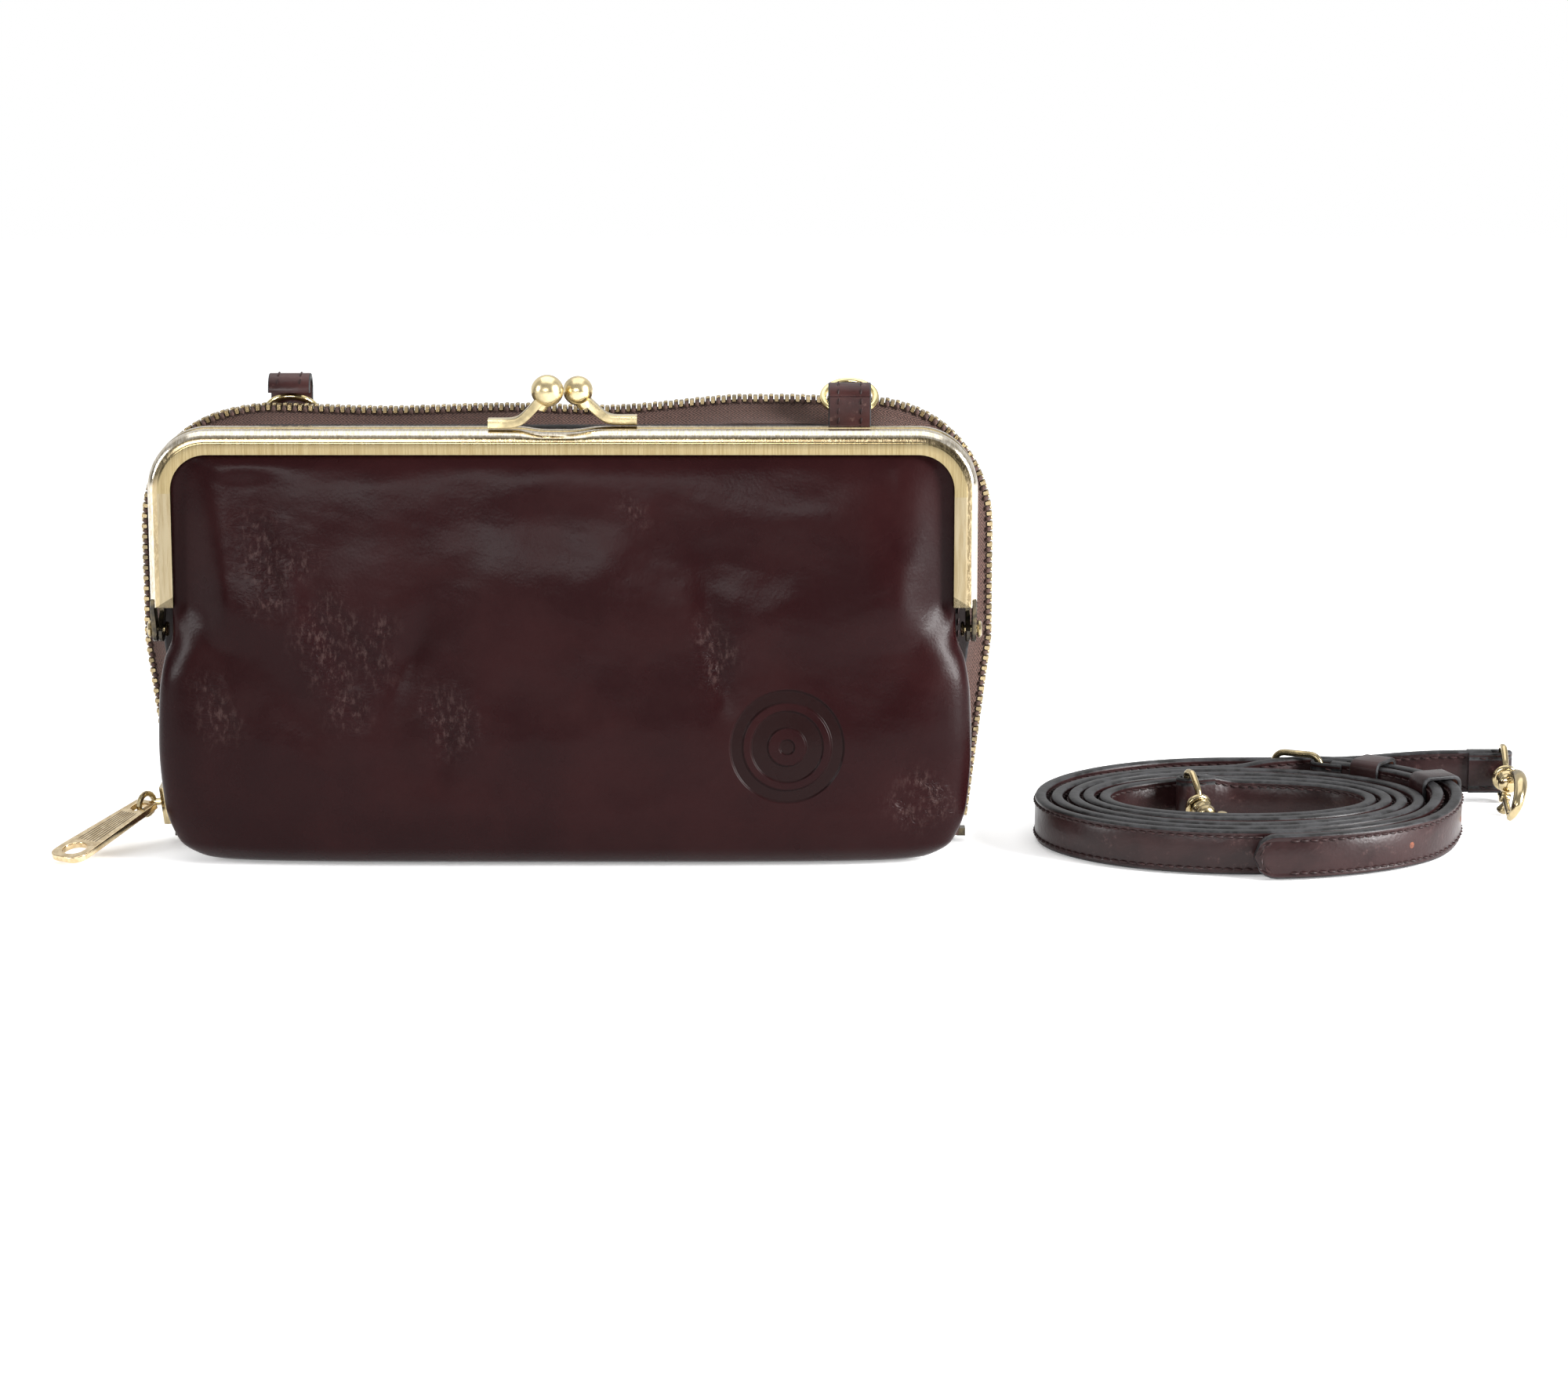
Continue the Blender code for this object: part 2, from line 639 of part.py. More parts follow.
FRONT_LAYER = WALLET_FRONT_Y - GAP - TAB_LEATHER / 2
REAR_LAYER = BACK_Y + GAP + TAB_LEATHER / 2
TAB_SPAN = 2 * TUNNEL + TAB_LEATHER
tab("ring_tab_right", TAB_RIGHT_X, FRONT_LAYER, FRONT_LAYER + TAB_SPAN, 0.0, REST)
tab("ring_tab_left", TAB_LEFT_X, REAR_LAYER, REAR_LAYER - TAB_SPAN, LEFT_BULGE, BACK)
ring("ring_right", TAB_RIGHT_X, FRONT_LAYER + TAB_SPAN / 2, 61.0)
ring("ring_left", TAB_LEFT_X, REAR_LAYER + LEFT_BULGE / 2 - TAB_SPAN / 2, 138.0)


# ---------------------------------------------------------------- strap

def coil_point(turn, offset=None):
    """A point of the coil's middle line; turn runs clockwise from the back."""
    out = PITCH * (turn if offset is None else offset)
    a = 2 * math.pi * turn
    return Vector((COIL_X + (COIL_A + out) * math.sin(a), COIL_Y + (COIL_B + out) * math.cos(a), 0))


def coil_ring():
    """The four turns of the long strap as one solid, stepped where the coil ends."""
    count = 72
    half = STRAP_T / 2 / PITCH
    outer = [coil_point(k / count, TURNS - 1 + k / count + half) for k in range(count)]
    inner = [coil_point(k / count, k / count - half) for k in range(count)]
    outer.append(coil_point(0.9985, TURNS + half))
    inner.append(coil_point(0.9985, 1 - half))
    mesh = plate([outer, inner], STRAP_W)
    mesh.transform(Matrix.Translation((0, 0, STRAP_W / 2)))
    return as_object("strap_long_coil", mesh, STRAP_LEATHER)


def ribbon(name, route, thickness=STRAP_T, width=STRAP_W):
    """A strap on edge along (x, y, lift) points."""
    lower = [Vector((p.x, p.y, p.z)) for p in route]
    upper = [Vector((p.x, p.y, p.z + width)) for p in route]
    return solidify(as_object(name, strip(lower, upper), STRAP_LEATHER), thickness)


def tail_point(turn):
    """The strap's free end: out through the buckle, then along the short strap's outside."""
    offset = turn + 1.70 * smooth(4.026, 4.078, turn) - 0.55 * smooth(4.16, 4.34, turn)
    point = coil_point(turn, offset)
    point.z = LIFT * smooth(4.0, 4.04, turn) * (1 - smooth(4.24, 4.34, turn))
    return point


def short_point(turn):
    """The short strap: from the buckle once round the coil, then off along the back."""
    offset = turn + 0.51 * (1 - smooth(4.16, 4.34, turn))
    rise = smooth(4.74, 5.0, turn)
    offset += rise * ((STRAIGHT_Y - COIL_Y - COIL_B) / PITCH - 5.0)
    point = coil_point(turn, offset)
    point.z = LIFT * (1 - smooth(4.24, 4.34, turn))
    return point


def bezier(p0, p1, p2, p3, steps):
    """Points of a cubic curve between p0 and p3."""
    points = []
    for k in range(steps + 1):
        t = k / steps
        s = 1 - t
        points.append(p0 * s ** 3 + p1 * (3 * s * s * t) + p2 * (3 * s * t * t) + p3 * t ** 3)
    return points


LEAD_WAY = Vector((0.946, 0.323, 0)).normalized()


def strap_pieces():
    """The coil, the two ends that leave it and the short strap; gives back the tail."""
    coil_ring()
    tail = [tail_point(4.0012 + (4.502 - 4.0012) * k / 52) for k in range(53)]
    tail_strap = ribbon("strap_long_tail", tail)
    start = INNER_BAR + LEAD_WAY * 2.7 + Vector((0, 0, LIFT))
    end = coil_point(0.0)
    end.x -= GAP
    lead = bezier(start, start + LEAD_WAY * 5, end - Vector((2, 0, 0)), end, 8)
    ribbon("strap_long_lead", lead)
    route = [short_point(SHORT_START + (5.0 - SHORT_START) * k / 64) for k in range(65)]
    straight = OUTER_BAR.x - 2.7 - COIL_X
    for k in range(1, 9):
        x = COIL_X + straight * k / 8
        route.append(Vector((x, STRAIGHT_Y, LIFT * smooth(COIL_X + 30, COIL_X + 50, x))))
    ribbon("strap_short", route)
    return tail_strap


tail_strap = strap_pieces()

BUCKLE_Z = Vector((0, 0, LIFT + STRAP_W / 2))
TIP = coil_point(TIP_TURN, TIP_OFFSET) + BUCKLE_Z
HEEL = coil_point(HEEL_TURN, HEEL_OFFSET) + BUCKLE_Z
BUCKLE_C = (TIP + HEEL) / 2
BUCKLE_HALF = (HEEL - TIP).length / 2
BUCKLE_T = (HEEL - TIP).normalized()
BUCKLE_N = Vector((-BUCKLE_T.y, BUCKLE_T.x, 0))


def buckle_frame():
    """A rounded rectangular wire loop, standing on edge."""
    half, high, corner = BUCKLE_HALF, STRAP_W / 2 + 1.1, 2.2
    points = []
    for cx, cz, start in ((1, 1, 0), (-1, 1, 90), (-1, -1, 180), (1, -1, 270)):
        centre = (cx * (half - corner), cz * (high - corner))
        points += arc(centre, corner, start, start + 90, 4)
    loop = [BUCKLE_C + BUCKLE_T * u + Vector((0, 0, w)) for u, w in points]
    return as_object("buckle_frame", wire(loop, BAR, cyclic=True), BRASS_ANTIQUE, HEEL)


def prong():
    """The buckle's tongue: a collar round the heel bar and a pin to the tip bar."""
    start = HEEL + BUCKLE_N * (BAR + 1.0)
    end = TIP - BUCKLE_T * 1.2 + BUCKLE_N * (BAR + 1.0)
    pin = wire([start, (start + end) / 2, end], 0.7)
    made = as_object("buckle_prong", pin, BRASS_ANTIQUE, HEEL)
    up = Vector((0, 0, 0.75))
    combine(made, cylinder(HEEL - up, HEEL + up, BAR + 1.1, 20))
    combine(made, cylinder(HEEL - up * 3, HEEL + up * 3, BAR + GAP, 16), "DIFFERENCE")
    return made


def chape(name, bar, way, length=8.5, slotted=False):
    """Thin leather turned round a bar, its two layers gripping a strap's end."""
    side = Vector((-way.y, way.x, 0))
    radius = STRAP_T / 2 + 0.25 + 0.5
    turn = [bar + side * radius * math.sin(a) - way * radius * math.cos(a)
            for a in [math.radians(90 - 180 * k / 8) for k in range(9)]]
    row = [bar + side * radius + way * length] + turn + [bar - side * radius + way * length]
    route = [Vector((p.x, p.y, LIFT + 0.2)) for p in row]
    made = ribbon(name, route, thickness=1.0, width=STRAP_W - 0.4)
    if slotted:
        middle = Vector((bar.x, bar.y, HOOK_MID_Z))
        half = Vector((4.2, 4.2, 1.3))
        combine(made, block(middle - half, middle + half), "DIFFERENCE")
    return made


def keeper(name, turn):
    """A leather loop round the strap and its tail."""
    inner, outer = short_point(turn), tail_point(turn)
    forward = (short_point(turn + 0.003) - short_point(turn - 0.003)).normalized()
    forward.z = 0.0
    side = Vector((-forward.y, forward.x, 0)).normalized()
    middle = (inner + outer) / 2
    middle.z = LIFT + STRAP_W / 2
    half = (outer - inner).dot(side) / 2 + STRAP_T / 2 + 1.15
    high = STRAP_W / 2 + 0.9
    corner = 1.4
    section = []
    for cx, cz, start in ((1, 1, 0), (-1, 1, 90), (-1, -1, 180), (1, -1, 270)):
        section += arc((cx * (half - corner), cz * (high - corner)), corner, start, start + 90, 3)
    near = [middle + side * u + Vector((0, 0, w)) - forward * 3.8 for u, w in section]
    far = [p + forward * 7.6 for p in near]
    made = as_object(name, strip(near, far, cyclic=True), STRAP_LEATHER, middle)
    return solidify(made, 1.0)


buckle_frame()
prong()
slot_mesh = block((-9.5, -6.0, -1.05), (3.6, 8.0, 1.05))
slot_mesh.transform(axes_matrix(BUCKLE_T, BUCKLE_N, Vector((0, 0, 1)), HEEL))
combine(tail_strap, slot_mesh, "DIFFERENCE")
heel_way = (short_point(SHORT_START + 0.01) - short_point(SHORT_START)).normalized()
chape("buckle_chape", Vector((HEEL.x, HEEL.y, 0)), heel_way, length=6.0, slotted=True)
chape("hook_chape_inner", INNER_BAR, LEAD_WAY, length=6.5)
chape("hook_chape_outer", OUTER_BAR, Vector((-1, 0, 0)))
keeper("strap_keeper_fixed", 4.123)
keeper("strap_keeper_sliding", 4.205)


# ---------------------------------------------------------------- swivel hooks

POST = 1.0
BARREL = 2.6
HOOK_KNEE = Vector((3.0, 0, 0))


def hook(label, bar, heading, droop, roll):
    """Eye, swivelling claw and sprung gate; local x runs from the bar to the tip.

    The hook droops until its claw, turned by roll on the swivel, touches the ground.
    """
    side = Vector((-heading.y, heading.x, 0))
    at = Vector((bar.x, bar.y, HOOK_MID_Z))
    place = axes_matrix(heading, side, Vector((0, 0, 1)), at)
    lean = Matrix.Rotation(math.radians(droop), 4, "Y")
    sag = place @ Matrix.Translation(HOOK_KNEE) @ lean @ Matrix.Translation(-HOOK_KNEE)
    turned = sag @ Matrix.Rotation(math.radians(roll), 4, "X")
    high = STRAP_W / 2 + 1.1

    def set_down(mesh, way=turned):
        mesh.transform(way)
        return mesh

    top = [(3.3, 0, high - 0.1), (2.0, 0, high), (1.0, 0, high), (0.2, 0, high - 0.5),
           (0, 0, high - 1.4), (0, 0, 0)]
    loop = [sag @ Vector((7.0, 0, 2.3)), sag @ Vector((5.6, 0, 4.0))]
    loop += [place @ Vector(p) for p in top]
    loop += [place @ Vector((x, y, -z)) for x, y, z in top[-2::-1]]
    loop += [sag @ Vector((5.6, 0, -3.6)), sag @ Vector((7.0, 0, -2.3))]
    eye = as_object(f"hook_eye_{label}", wire(loop, BAR), BRASS_ANTIQUE, at)
    combine(eye, set_down(cylinder((6.2, 0, 0), (7.8, 0, 0), 3.3, 24), sag))
    combine(eye, set_down(cylinder((4, 0, 0), (9, 0, 0), POST + GAP, 16), sag), "DIFFERENCE")

    claw_way = [(11.5, -1.2, 0), (13.5, -2.6, 0), (16.5, -3.7, 0), (20.0, -4.0, 0),
                (23.6, -3.3, 0), (26.4, -1.5, 0), (27.9, 0.9, 0), (27.6, 3.2, 0),
                (26.2, 4.5, 0)]
    claw = as_object(f"hook_claw_{label}", set_down(wire(claw_way, 1.5, sides=3)),
                     BRASS_ANTIQUE, at)
    combine(claw, set_down(cylinder((5.2, 0, 0), (9.0, 0, 0), POST, 16)))
    combine(claw, set_down(cylinder((4.4, 0, 0), (5.7, 0, 0), 1.9, 16)))
    combine(claw, set_down(cylinder((8.2, 0, 0), (12.6, 0, 0), BARREL, 20)))

    hinge = turned @ Vector((13.9, 3.2, 0))
    gate_way = [(13.9, 3.2, 0), (19.0, 3.8, 0), (24.0, 4.3, 0)]
    gate = as_object(f"hook_gate_{label}", set_down(wire(gate_way, 0.8)), BRASS_ANTIQUE, hinge)
    return combine(gate, set_down(cylinder((15.0, 3.2, 0), (14.6, 6.4, 0), 0.9, 12, tip=1.3)))


hook("outer", OUTER_BAR, Vector((0, -1, 0)), 3.4, 250.0)
hook("inner", INNER_BAR, Vector((0.34, -0.94, 0)).normalized(), 12.4, 0.0)
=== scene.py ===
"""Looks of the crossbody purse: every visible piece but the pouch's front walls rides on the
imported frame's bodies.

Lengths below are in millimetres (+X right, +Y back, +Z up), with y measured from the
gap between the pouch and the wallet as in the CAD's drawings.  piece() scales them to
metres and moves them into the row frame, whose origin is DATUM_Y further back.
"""
import math

import bmesh
import bpy
import numpy as np
from mathutils import Matrix, Vector


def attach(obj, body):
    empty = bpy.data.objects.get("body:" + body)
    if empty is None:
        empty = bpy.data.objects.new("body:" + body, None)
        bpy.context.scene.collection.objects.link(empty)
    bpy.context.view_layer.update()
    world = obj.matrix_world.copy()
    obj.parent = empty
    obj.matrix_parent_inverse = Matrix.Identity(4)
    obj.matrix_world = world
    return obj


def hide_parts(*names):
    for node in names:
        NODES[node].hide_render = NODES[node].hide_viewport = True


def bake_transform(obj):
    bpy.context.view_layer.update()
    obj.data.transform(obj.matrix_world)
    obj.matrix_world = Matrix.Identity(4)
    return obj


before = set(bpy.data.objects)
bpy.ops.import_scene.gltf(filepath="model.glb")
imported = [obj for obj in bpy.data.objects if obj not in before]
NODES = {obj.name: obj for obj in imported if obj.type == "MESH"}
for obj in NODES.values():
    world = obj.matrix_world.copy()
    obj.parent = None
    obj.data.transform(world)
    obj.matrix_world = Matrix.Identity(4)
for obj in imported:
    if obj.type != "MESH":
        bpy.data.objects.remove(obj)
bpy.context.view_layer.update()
MM = 0.001
DATUM_Y = 11.0


# ------------------------------------------------------------------ materials

class Look:
    """A node material being built."""

    def __init__(self, name):
        self.mat = bpy.data.materials.new(name)
        self.mat.use_nodes = True
        self.tree = self.mat.node_tree
        self.shader = self.tree.nodes["Principled BSDF"]
        self.place = self.node("ShaderNodeTexCoord").outputs["Object"]

    def node(self, kind, **settings):
        made = self.tree.nodes.new(kind)
        for key, value in settings.items():
            setattr(made, key, value)
        return made

    def link(self, source, target):
        self.tree.links.new(source, target)
        return source

    def put(self, socket, value):
        if isinstance(value, bpy.types.NodeSocket):
            self.link(value, socket)
        elif value is not None:
            socket.default_value = value

    def uv(self):
        """UV coordinates, which hold millimetres."""
        return self.node("ShaderNodeTexCoord").outputs["UV"]

    def stretch(self, x, y, z):
        """Object coordinates (metres) scaled along each axis."""
        mapping = self.node("ShaderNodeMapping")
        self.link(self.place, mapping.inputs["Vector"])
        mapping.inputs["Scale"].default_value = (x, y, z)
        return mapping.outputs["Vector"]

    def noise(self, scale, detail=3.0, rough=0.5, at=None, distort=0.0):
        made = self.node("ShaderNodeTexNoise")
        self.put(made.inputs["Vector"], at or self.place)
        made.inputs["Scale"].default_value = scale
        made.inputs["Detail"].default_value = detail
        made.inputs["Roughness"].default_value = rough
        made.inputs["Distortion"].default_value = distort
        return made.outputs["Fac"]

    def pores(self, scale):
        """Rounded cells, the grain of leather."""
        made = self.node("ShaderNodeTexVoronoi", feature="SMOOTH_F1")
        self.put(made.inputs["Vector"], self.place)
        made.inputs["Scale"].default_value = scale
        return made.outputs["Distance"]

    def maths(self, operation, a, b=None, clamp=False):
        made = self.node("ShaderNodeMath", operation=operation, use_clamp=clamp)
        self.put(made.inputs[0], a)
        self.put(made.inputs[1], b)
        return made.outputs[0]

    def span(self, value, low, high, out_low=0.0, out_high=1.0):
        """value from low..high to out_low..out_high, with level ends."""
        made = self.node("ShaderNodeMapRange", interpolation_type="SMOOTHSTEP")
        self.put(made.inputs["Value"], value)
        made.inputs["From Min"].default_value = low
        made.inputs["From Max"].default_value = high
        made.inputs["To Min"].default_value = out_low
        made.inputs["To Max"].default_value = out_high
        return made.outputs["Result"]

    def mix(self, factor, a, b):
        made = self.node("ShaderNodeMix", data_type="RGBA")
        self.put(made.inputs[0], factor)
        for socket, value in ((made.inputs[6], a), (made.inputs[7], b)):
            self.put(socket, (*value, 1.0) if isinstance(value, tuple) else value)
        return made.outputs[2]

    def bump(self, height, distance, strength=1.0, under=None):
        """A normal raised by height times distance (mm), on top of the normal under."""
        made = self.node("ShaderNodeBump")
        self.put(made.inputs["Height"], height)
        made.inputs["Distance"].default_value = distance * MM
        made.inputs["Strength"].default_value = strength
        self.put(made.inputs["Normal"], under)
        return made.outputs["Normal"]

    def finish(self, colour, rough, normal=None, metal=0.0, sheen=0.0, shine=0.5):
        inputs = self.shader.inputs
        self.put(inputs["Base Color"], colour)
        self.put(inputs["Roughness"], rough)
        inputs["Metallic"].default_value = metal
        inputs["Specular IOR Level"].default_value = shine
        self.put(inputs["Normal"], normal)
        inputs["Sheen Weight"].default_value = sheen
        return self.mat


def pouch_leather():
    """Polished dark leather with a plain round medallion pressed into it."""
    k = Look("pouch_leather")
    cloud = k.noise(38, 4, 0.6)
    fibre = k.noise(900, 5, 0.7, at=k.stretch(1, 1, 0.45))
    crease = k.node("ShaderNodeAttribute", attribute_name="crease").outputs["Fac"]
    base = k.mix(k.span(cloud, 0.35, 0.7), (0.0106, 0.0022, 0.0026), (0.0148, 0.0033, 0.0036))
    # A lighter colour along the creases: partly wear of the finish, partly a painted highlight
    # where light catches the crease lines.
    lighter_marks = k.maths("MULTIPLY", k.span(fibre, 0.48, 0.68, 0.0, 0.42), crease, clamp=True)
    base = k.mix(lighter_marks, base, (0.080, 0.048, 0.044))
    parts = k.node("ShaderNodeSeparateXYZ")
    k.link(k.place, parts.inputs[0])
    across = k.maths("SUBTRACT", parts.outputs["X"], MEDAL_X * MM)
    up = k.maths("SUBTRACT", parts.outputs["Z"], MEDAL_Z * MM)
    square = k.maths("ADD", k.maths("MULTIPLY", across, across), k.maths("MULTIPLY", up, up))
    radius = k.maths("MULTIPLY", k.maths("SQRT", square), 1000.0)
    rim = k.maths("SUBTRACT", k.span(radius, 10.0, 10.7), k.span(radius, 12.9, 13.6))
    middle = k.maths("SUBTRACT", k.span(radius, 4.2, 4.8), k.span(radius, 8.1, 8.7))
    dot = k.span(radius, 1.5, 2.0, 1.0, 0.0)
    front = k.span(parts.outputs["Y"], -0.026, -0.024, 1.0, 0.0)
    pressed = k.maths("MULTIPLY", k.maths("ADD", k.maths("ADD", rim, middle), dot), front)
    base = k.mix(pressed, base, (0.0090, 0.0030, 0.0030))
    grain = k.pores(1500)
    normal = k.bump(k.noise(75, 2, 0.5), 0.5, 0.3)
    normal = k.bump(k.noise(520, 4, 0.62), 0.07, 0.5, normal)
    normal = k.bump(grain, 0.045, 0.4, normal)
    folds = k.maths("SUBTRACT", k.noise(230, 4, 0.62, at=k.stretch(0.8, 1, 1.7), distort=0.6), 0.5)
    wrinkle = k.span(k.maths("ABSOLUTE", folds), 0.0, 0.10)
    wrinkle = k.maths("ADD", wrinkle, k.maths("MULTIPLY", k.noise(700, 3, 0.6), 0.5))
    normal = k.bump(k.maths("MULTIPLY", wrinkle, crease), 0.16, 0.8, normal)
    normal = k.bump(pressed, -0.55, 1.0, normal)
    rough = k.maths("ADD", k.span(cloud, 0.3, 0.7, 0.24, 0.32), k.maths("MULTIPLY", crease, 0.06))
    return k.finish(base, rough, normal, shine=0.085)


def plain_leather(name, dark, light, rough=0.42, shine=0.2, lighter_marks=None):
    k = Look(name)
    cloud = k.noise(60, 4, 0.6)
    grain = k.pores(1300)
    base = k.mix(k.span(cloud, 0.35, 0.68), dark, light)
    if lighter_marks:
        base = k.mix(k.span(k.noise(420, 5, 0.7), 0.58, 0.72), base, lighter_marks)
    normal = k.bump(k.noise(160, 3, 0.55), 0.25, 0.35)
    normal = k.bump(grain, 0.06, 0.5, normal)
    normal = k.bump(k.noise(900, 3, 0.6), 0.04, 0.4, normal)
    return k.finish(base, k.span(cloud, 0.3, 0.7, rough - 0.05, rough + 0.07), normal,
                    shine=shine)


def edge_paint():
    """Mottled grey-black paint on cut leather."""
    k = Look("edge_paint")
    blotch = k.noise(240, 4, 0.65)
    base = k.mix(k.span(blotch, 0.36, 0.66), (0.007, 0.0066, 0.0068), (0.030, 0.030, 0.032))
    normal = k.bump(k.noise(420, 4, 0.6), 0.16, 0.8)
    return k.finish(base, k.span(blotch, 0.3, 0.7, 0.36, 0.52), normal, shine=0.2)


def raw_edge():
    k = Look("raw_leather")
    fuzz = k.noise(900, 4, 0.7)
    base = k.mix(k.span(fuzz, 0.35, 0.65), (0.075, 0.020, 0.009), (0.17, 0.050, 0.022))
    return k.finish(base, k.span(fuzz, 0.3, 0.7, 0.75, 0.9), k.bump(fuzz, 0.12, 0.9))


def thread(name, dark, light):
    k = Look(name)
    twist = k.noise(2200, 3, 0.6)
    base = k.mix(k.span(twist, 0.35, 0.65), dark, light)
    return k.finish(base, k.span(twist, 0.3, 0.7, 0.5, 0.7), k.bump(twist, 0.08, 0.8), shine=0.25)


def tape_weave():
    """Herringbone zip tape; its UVs run in millimetres along and across."""
    k = Look("zip_tape")
    parts = k.node("ShaderNodeSeparateXYZ")
    k.link(k.uv(), parts.inputs[0])
    along, across = parts.outputs["X"], parts.outputs["Y"]
    zigzag = k.maths("PINGPONG", across, 1.1)
    slant = k.maths("ADD", k.maths("MULTIPLY", along, 1.25), k.maths("MULTIPLY", zigzag, 1.6))
    rib = k.maths("SINE", k.maths("MULTIPLY", slant, 2 * math.pi * 0.9))
    yarn = k.maths("SINE", k.maths("MULTIPLY", across, 2 * math.pi * 1.9))
    weave = k.maths("ADD", k.maths("MULTIPLY", rib, 0.35), k.maths("MULTIPLY", yarn, 0.15))
    weave = k.maths("ADD", weave, k.noise(1600, 3, 0.7))
    blend = k.span(weave, 0.05, 1.0)
    base = k.mix(blend, (0.024, 0.0125, 0.0105), (0.105, 0.058, 0.046))
    base = k.mix(k.span(k.noise(70, 3), 0.35, 0.7, 0.0, 0.35), base, (0.050, 0.029, 0.024))
    return k.finish(base, k.span(weave, 0.0, 1.0, 0.72, 0.9), k.bump(weave, 0.16, 0.9), sheen=0.05,
                    shine=0.2)


def lining_cloth():
    k = Look("lining_cloth")
    parts = k.node("ShaderNodeSeparateXYZ")
    k.link(k.place, parts.inputs[0])
    warp = k.maths("SINE", k.maths("MULTIPLY", parts.outputs["X"], 2 * math.pi * 1400))
    weft = k.maths("SINE", k.maths("MULTIPLY", parts.outputs["Z"], 2 * math.pi * 1400))
    weave = k.maths("MULTIPLY", warp, weft)
    weave = k.maths("ADD", weave, k.noise(1200, 3, 0.7))
    base = k.mix(k.span(weave, -0.4, 1.4), (0.17, 0.115, 0.075), (0.34, 0.25, 0.17))
    return k.finish(base, k.span(weave, -0.4, 1.4, 0.78, 0.92), k.bump(weave, 0.1, 0.8), sheen=0.3)


def brushed_brass(name="brushed_brass", grain=(60, 60, 60), tint=(0.80, 0.66, 0.40)):
    """Antique brass brushed across its length: grain stretches the streaks."""
    k = Look(name)
    streak = k.noise(60, 4, 0.7, at=k.stretch(*grain))
    hair = k.noise(170, 3, 0.6, at=k.stretch(*grain))
    cloud = k.noise(38, 3, 0.6)
    deep = tuple(c * s for c, s in zip(tint, (0.72, 0.67, 0.58)))
    base = k.mix(k.span(streak, 0.34, 0.64), deep, tint)
    base = k.mix(k.span(cloud, 0.35, 0.75, 0.0, 0.22), base, tuple(c * 0.82 for c in tint))
    rough = k.span(streak, 0.3, 0.7, 0.15, 0.24)
    return k.finish(base, rough, k.bump(hair, 0.008, 0.35), metal=1.0)


def shaded_brass():
    """A painted dark reflection on the frame: the dark line where the face turns over into the top.
    """
    k = Look("band_brass")
    patch = k.noise(16, 3, 0.6)
    hair = k.noise(70, 4, 0.7, at=k.stretch(40, 4, 14))
    base = k.mix(k.span(patch, 0.38, 0.62), (0.17, 0.128, 0.070), (0.44, 0.35, 0.205))
    base = k.mix(k.span(hair, 0.45, 0.65, 0.0, 0.6), base, (0.60, 0.49, 0.30))
    return k.finish(base, k.span(hair, 0.3, 0.7, 0.16, 0.26), k.bump(hair, 0.008, 0.35), metal=1.0)


def antique_brass(name="antique_brass", tint=(0.66, 0.52, 0.27), low=0.12, high=0.30):
    """Polished brass with darker age marks."""
    k = Look(name)
    age = k.noise(110, 4, 0.6)
    base = k.mix(k.span(age, 0.42, 0.70), tint, tuple(c * 0.42 for c in tint))
    fine = k.noise(900, 3, 0.6)
    return k.finish(base, k.span(age, 0.3, 0.7, low, high), k.bump(fine, 0.006, 0.4), metal=1.0)


def dark_steel():
    k = Look("dark_metal")
    age = k.noise(300, 4, 0.6)
    base = k.mix(k.span(age, 0.4, 0.7), (0.05, 0.045, 0.038), (0.16, 0.13, 0.08))
    return k.finish(base, k.span(age, 0.3, 0.7, 0.25, 0.42), k.bump(age, 0.02, 0.5), metal=1.0)


def paper():
    k = Look("paper_cord")
    fibre = k.noise(1400, 4, 0.7)
    base = k.mix(k.span(fibre, 0.3, 0.7), (0.36, 0.28, 0.19), (0.62, 0.52, 0.38))
    return k.finish(base, k.span(fibre, 0.3, 0.7, 0.8, 0.92), k.bump(fibre, 0.1, 0.8))


MEDAL_X, MEDAL_Z = 52.2, 29.5
POUCH = pouch_leather()
PANEL = plain_leather("panel_leather", (0.006, 0.0038, 0.0038), (0.012, 0.0074, 0.0072), 0.45)
STRAP = plain_leather("strap_leather", (0.0120, 0.0042, 0.0044), (0.0230, 0.0088, 0.0088),
                      0.32, 0.24, (0.042, 0.021, 0.020))
TAB_LEATHER = plain_leather("tab_leather", (0.018, 0.0046, 0.0044), (0.040, 0.0120, 0.0108),
                            0.32, 0.3, (0.075, 0.038, 0.032))
EDGE = edge_paint()
RAW = raw_edge()
THREAD = thread("thread_brown", (0.0080, 0.0028, 0.0028), (0.0260, 0.0090, 0.0088))
TAPE = tape_weave()
CLOTH = lining_cloth()
FRAME_BRASS = brushed_brass("frame_brass", (40, 4, 1.2), (0.37, 0.30, 0.165))
LEG_BRASS = brushed_brass("leg_brass", (14, 4, 1.2), (0.37, 0.31, 0.20))
# Dark brass for the line below the frame's top: a painted dark reflection.
BAND_BRASS = shaded_brass()
# Near-white brass on the frame's rounded top: a painted highlight, a lighter copy of the frame's
# brass.
RIM_HIGHLIGHT_BRASS = brushed_brass("rim_highlight_brass", (40, 4, 14), (0.72, 0.665, 0.565))
PULL_BRASS = brushed_brass("pull_brass", (8, 8, 8), (0.80, 0.65, 0.42))
RING_BRASS = antique_brass("ring_brass", (0.88, 0.72, 0.36), 0.12, 0.24)
BRASS = antique_brass("antique_brass", (0.50, 0.405, 0.235), 0.14, 0.28)
TEETH_BRASS = antique_brass("teeth_brass", (0.42, 0.33, 0.19), 0.22, 0.38)
DARK = dark_steel()
PAPER = paper()


# ------------------------------------------------------------------ mesh tools

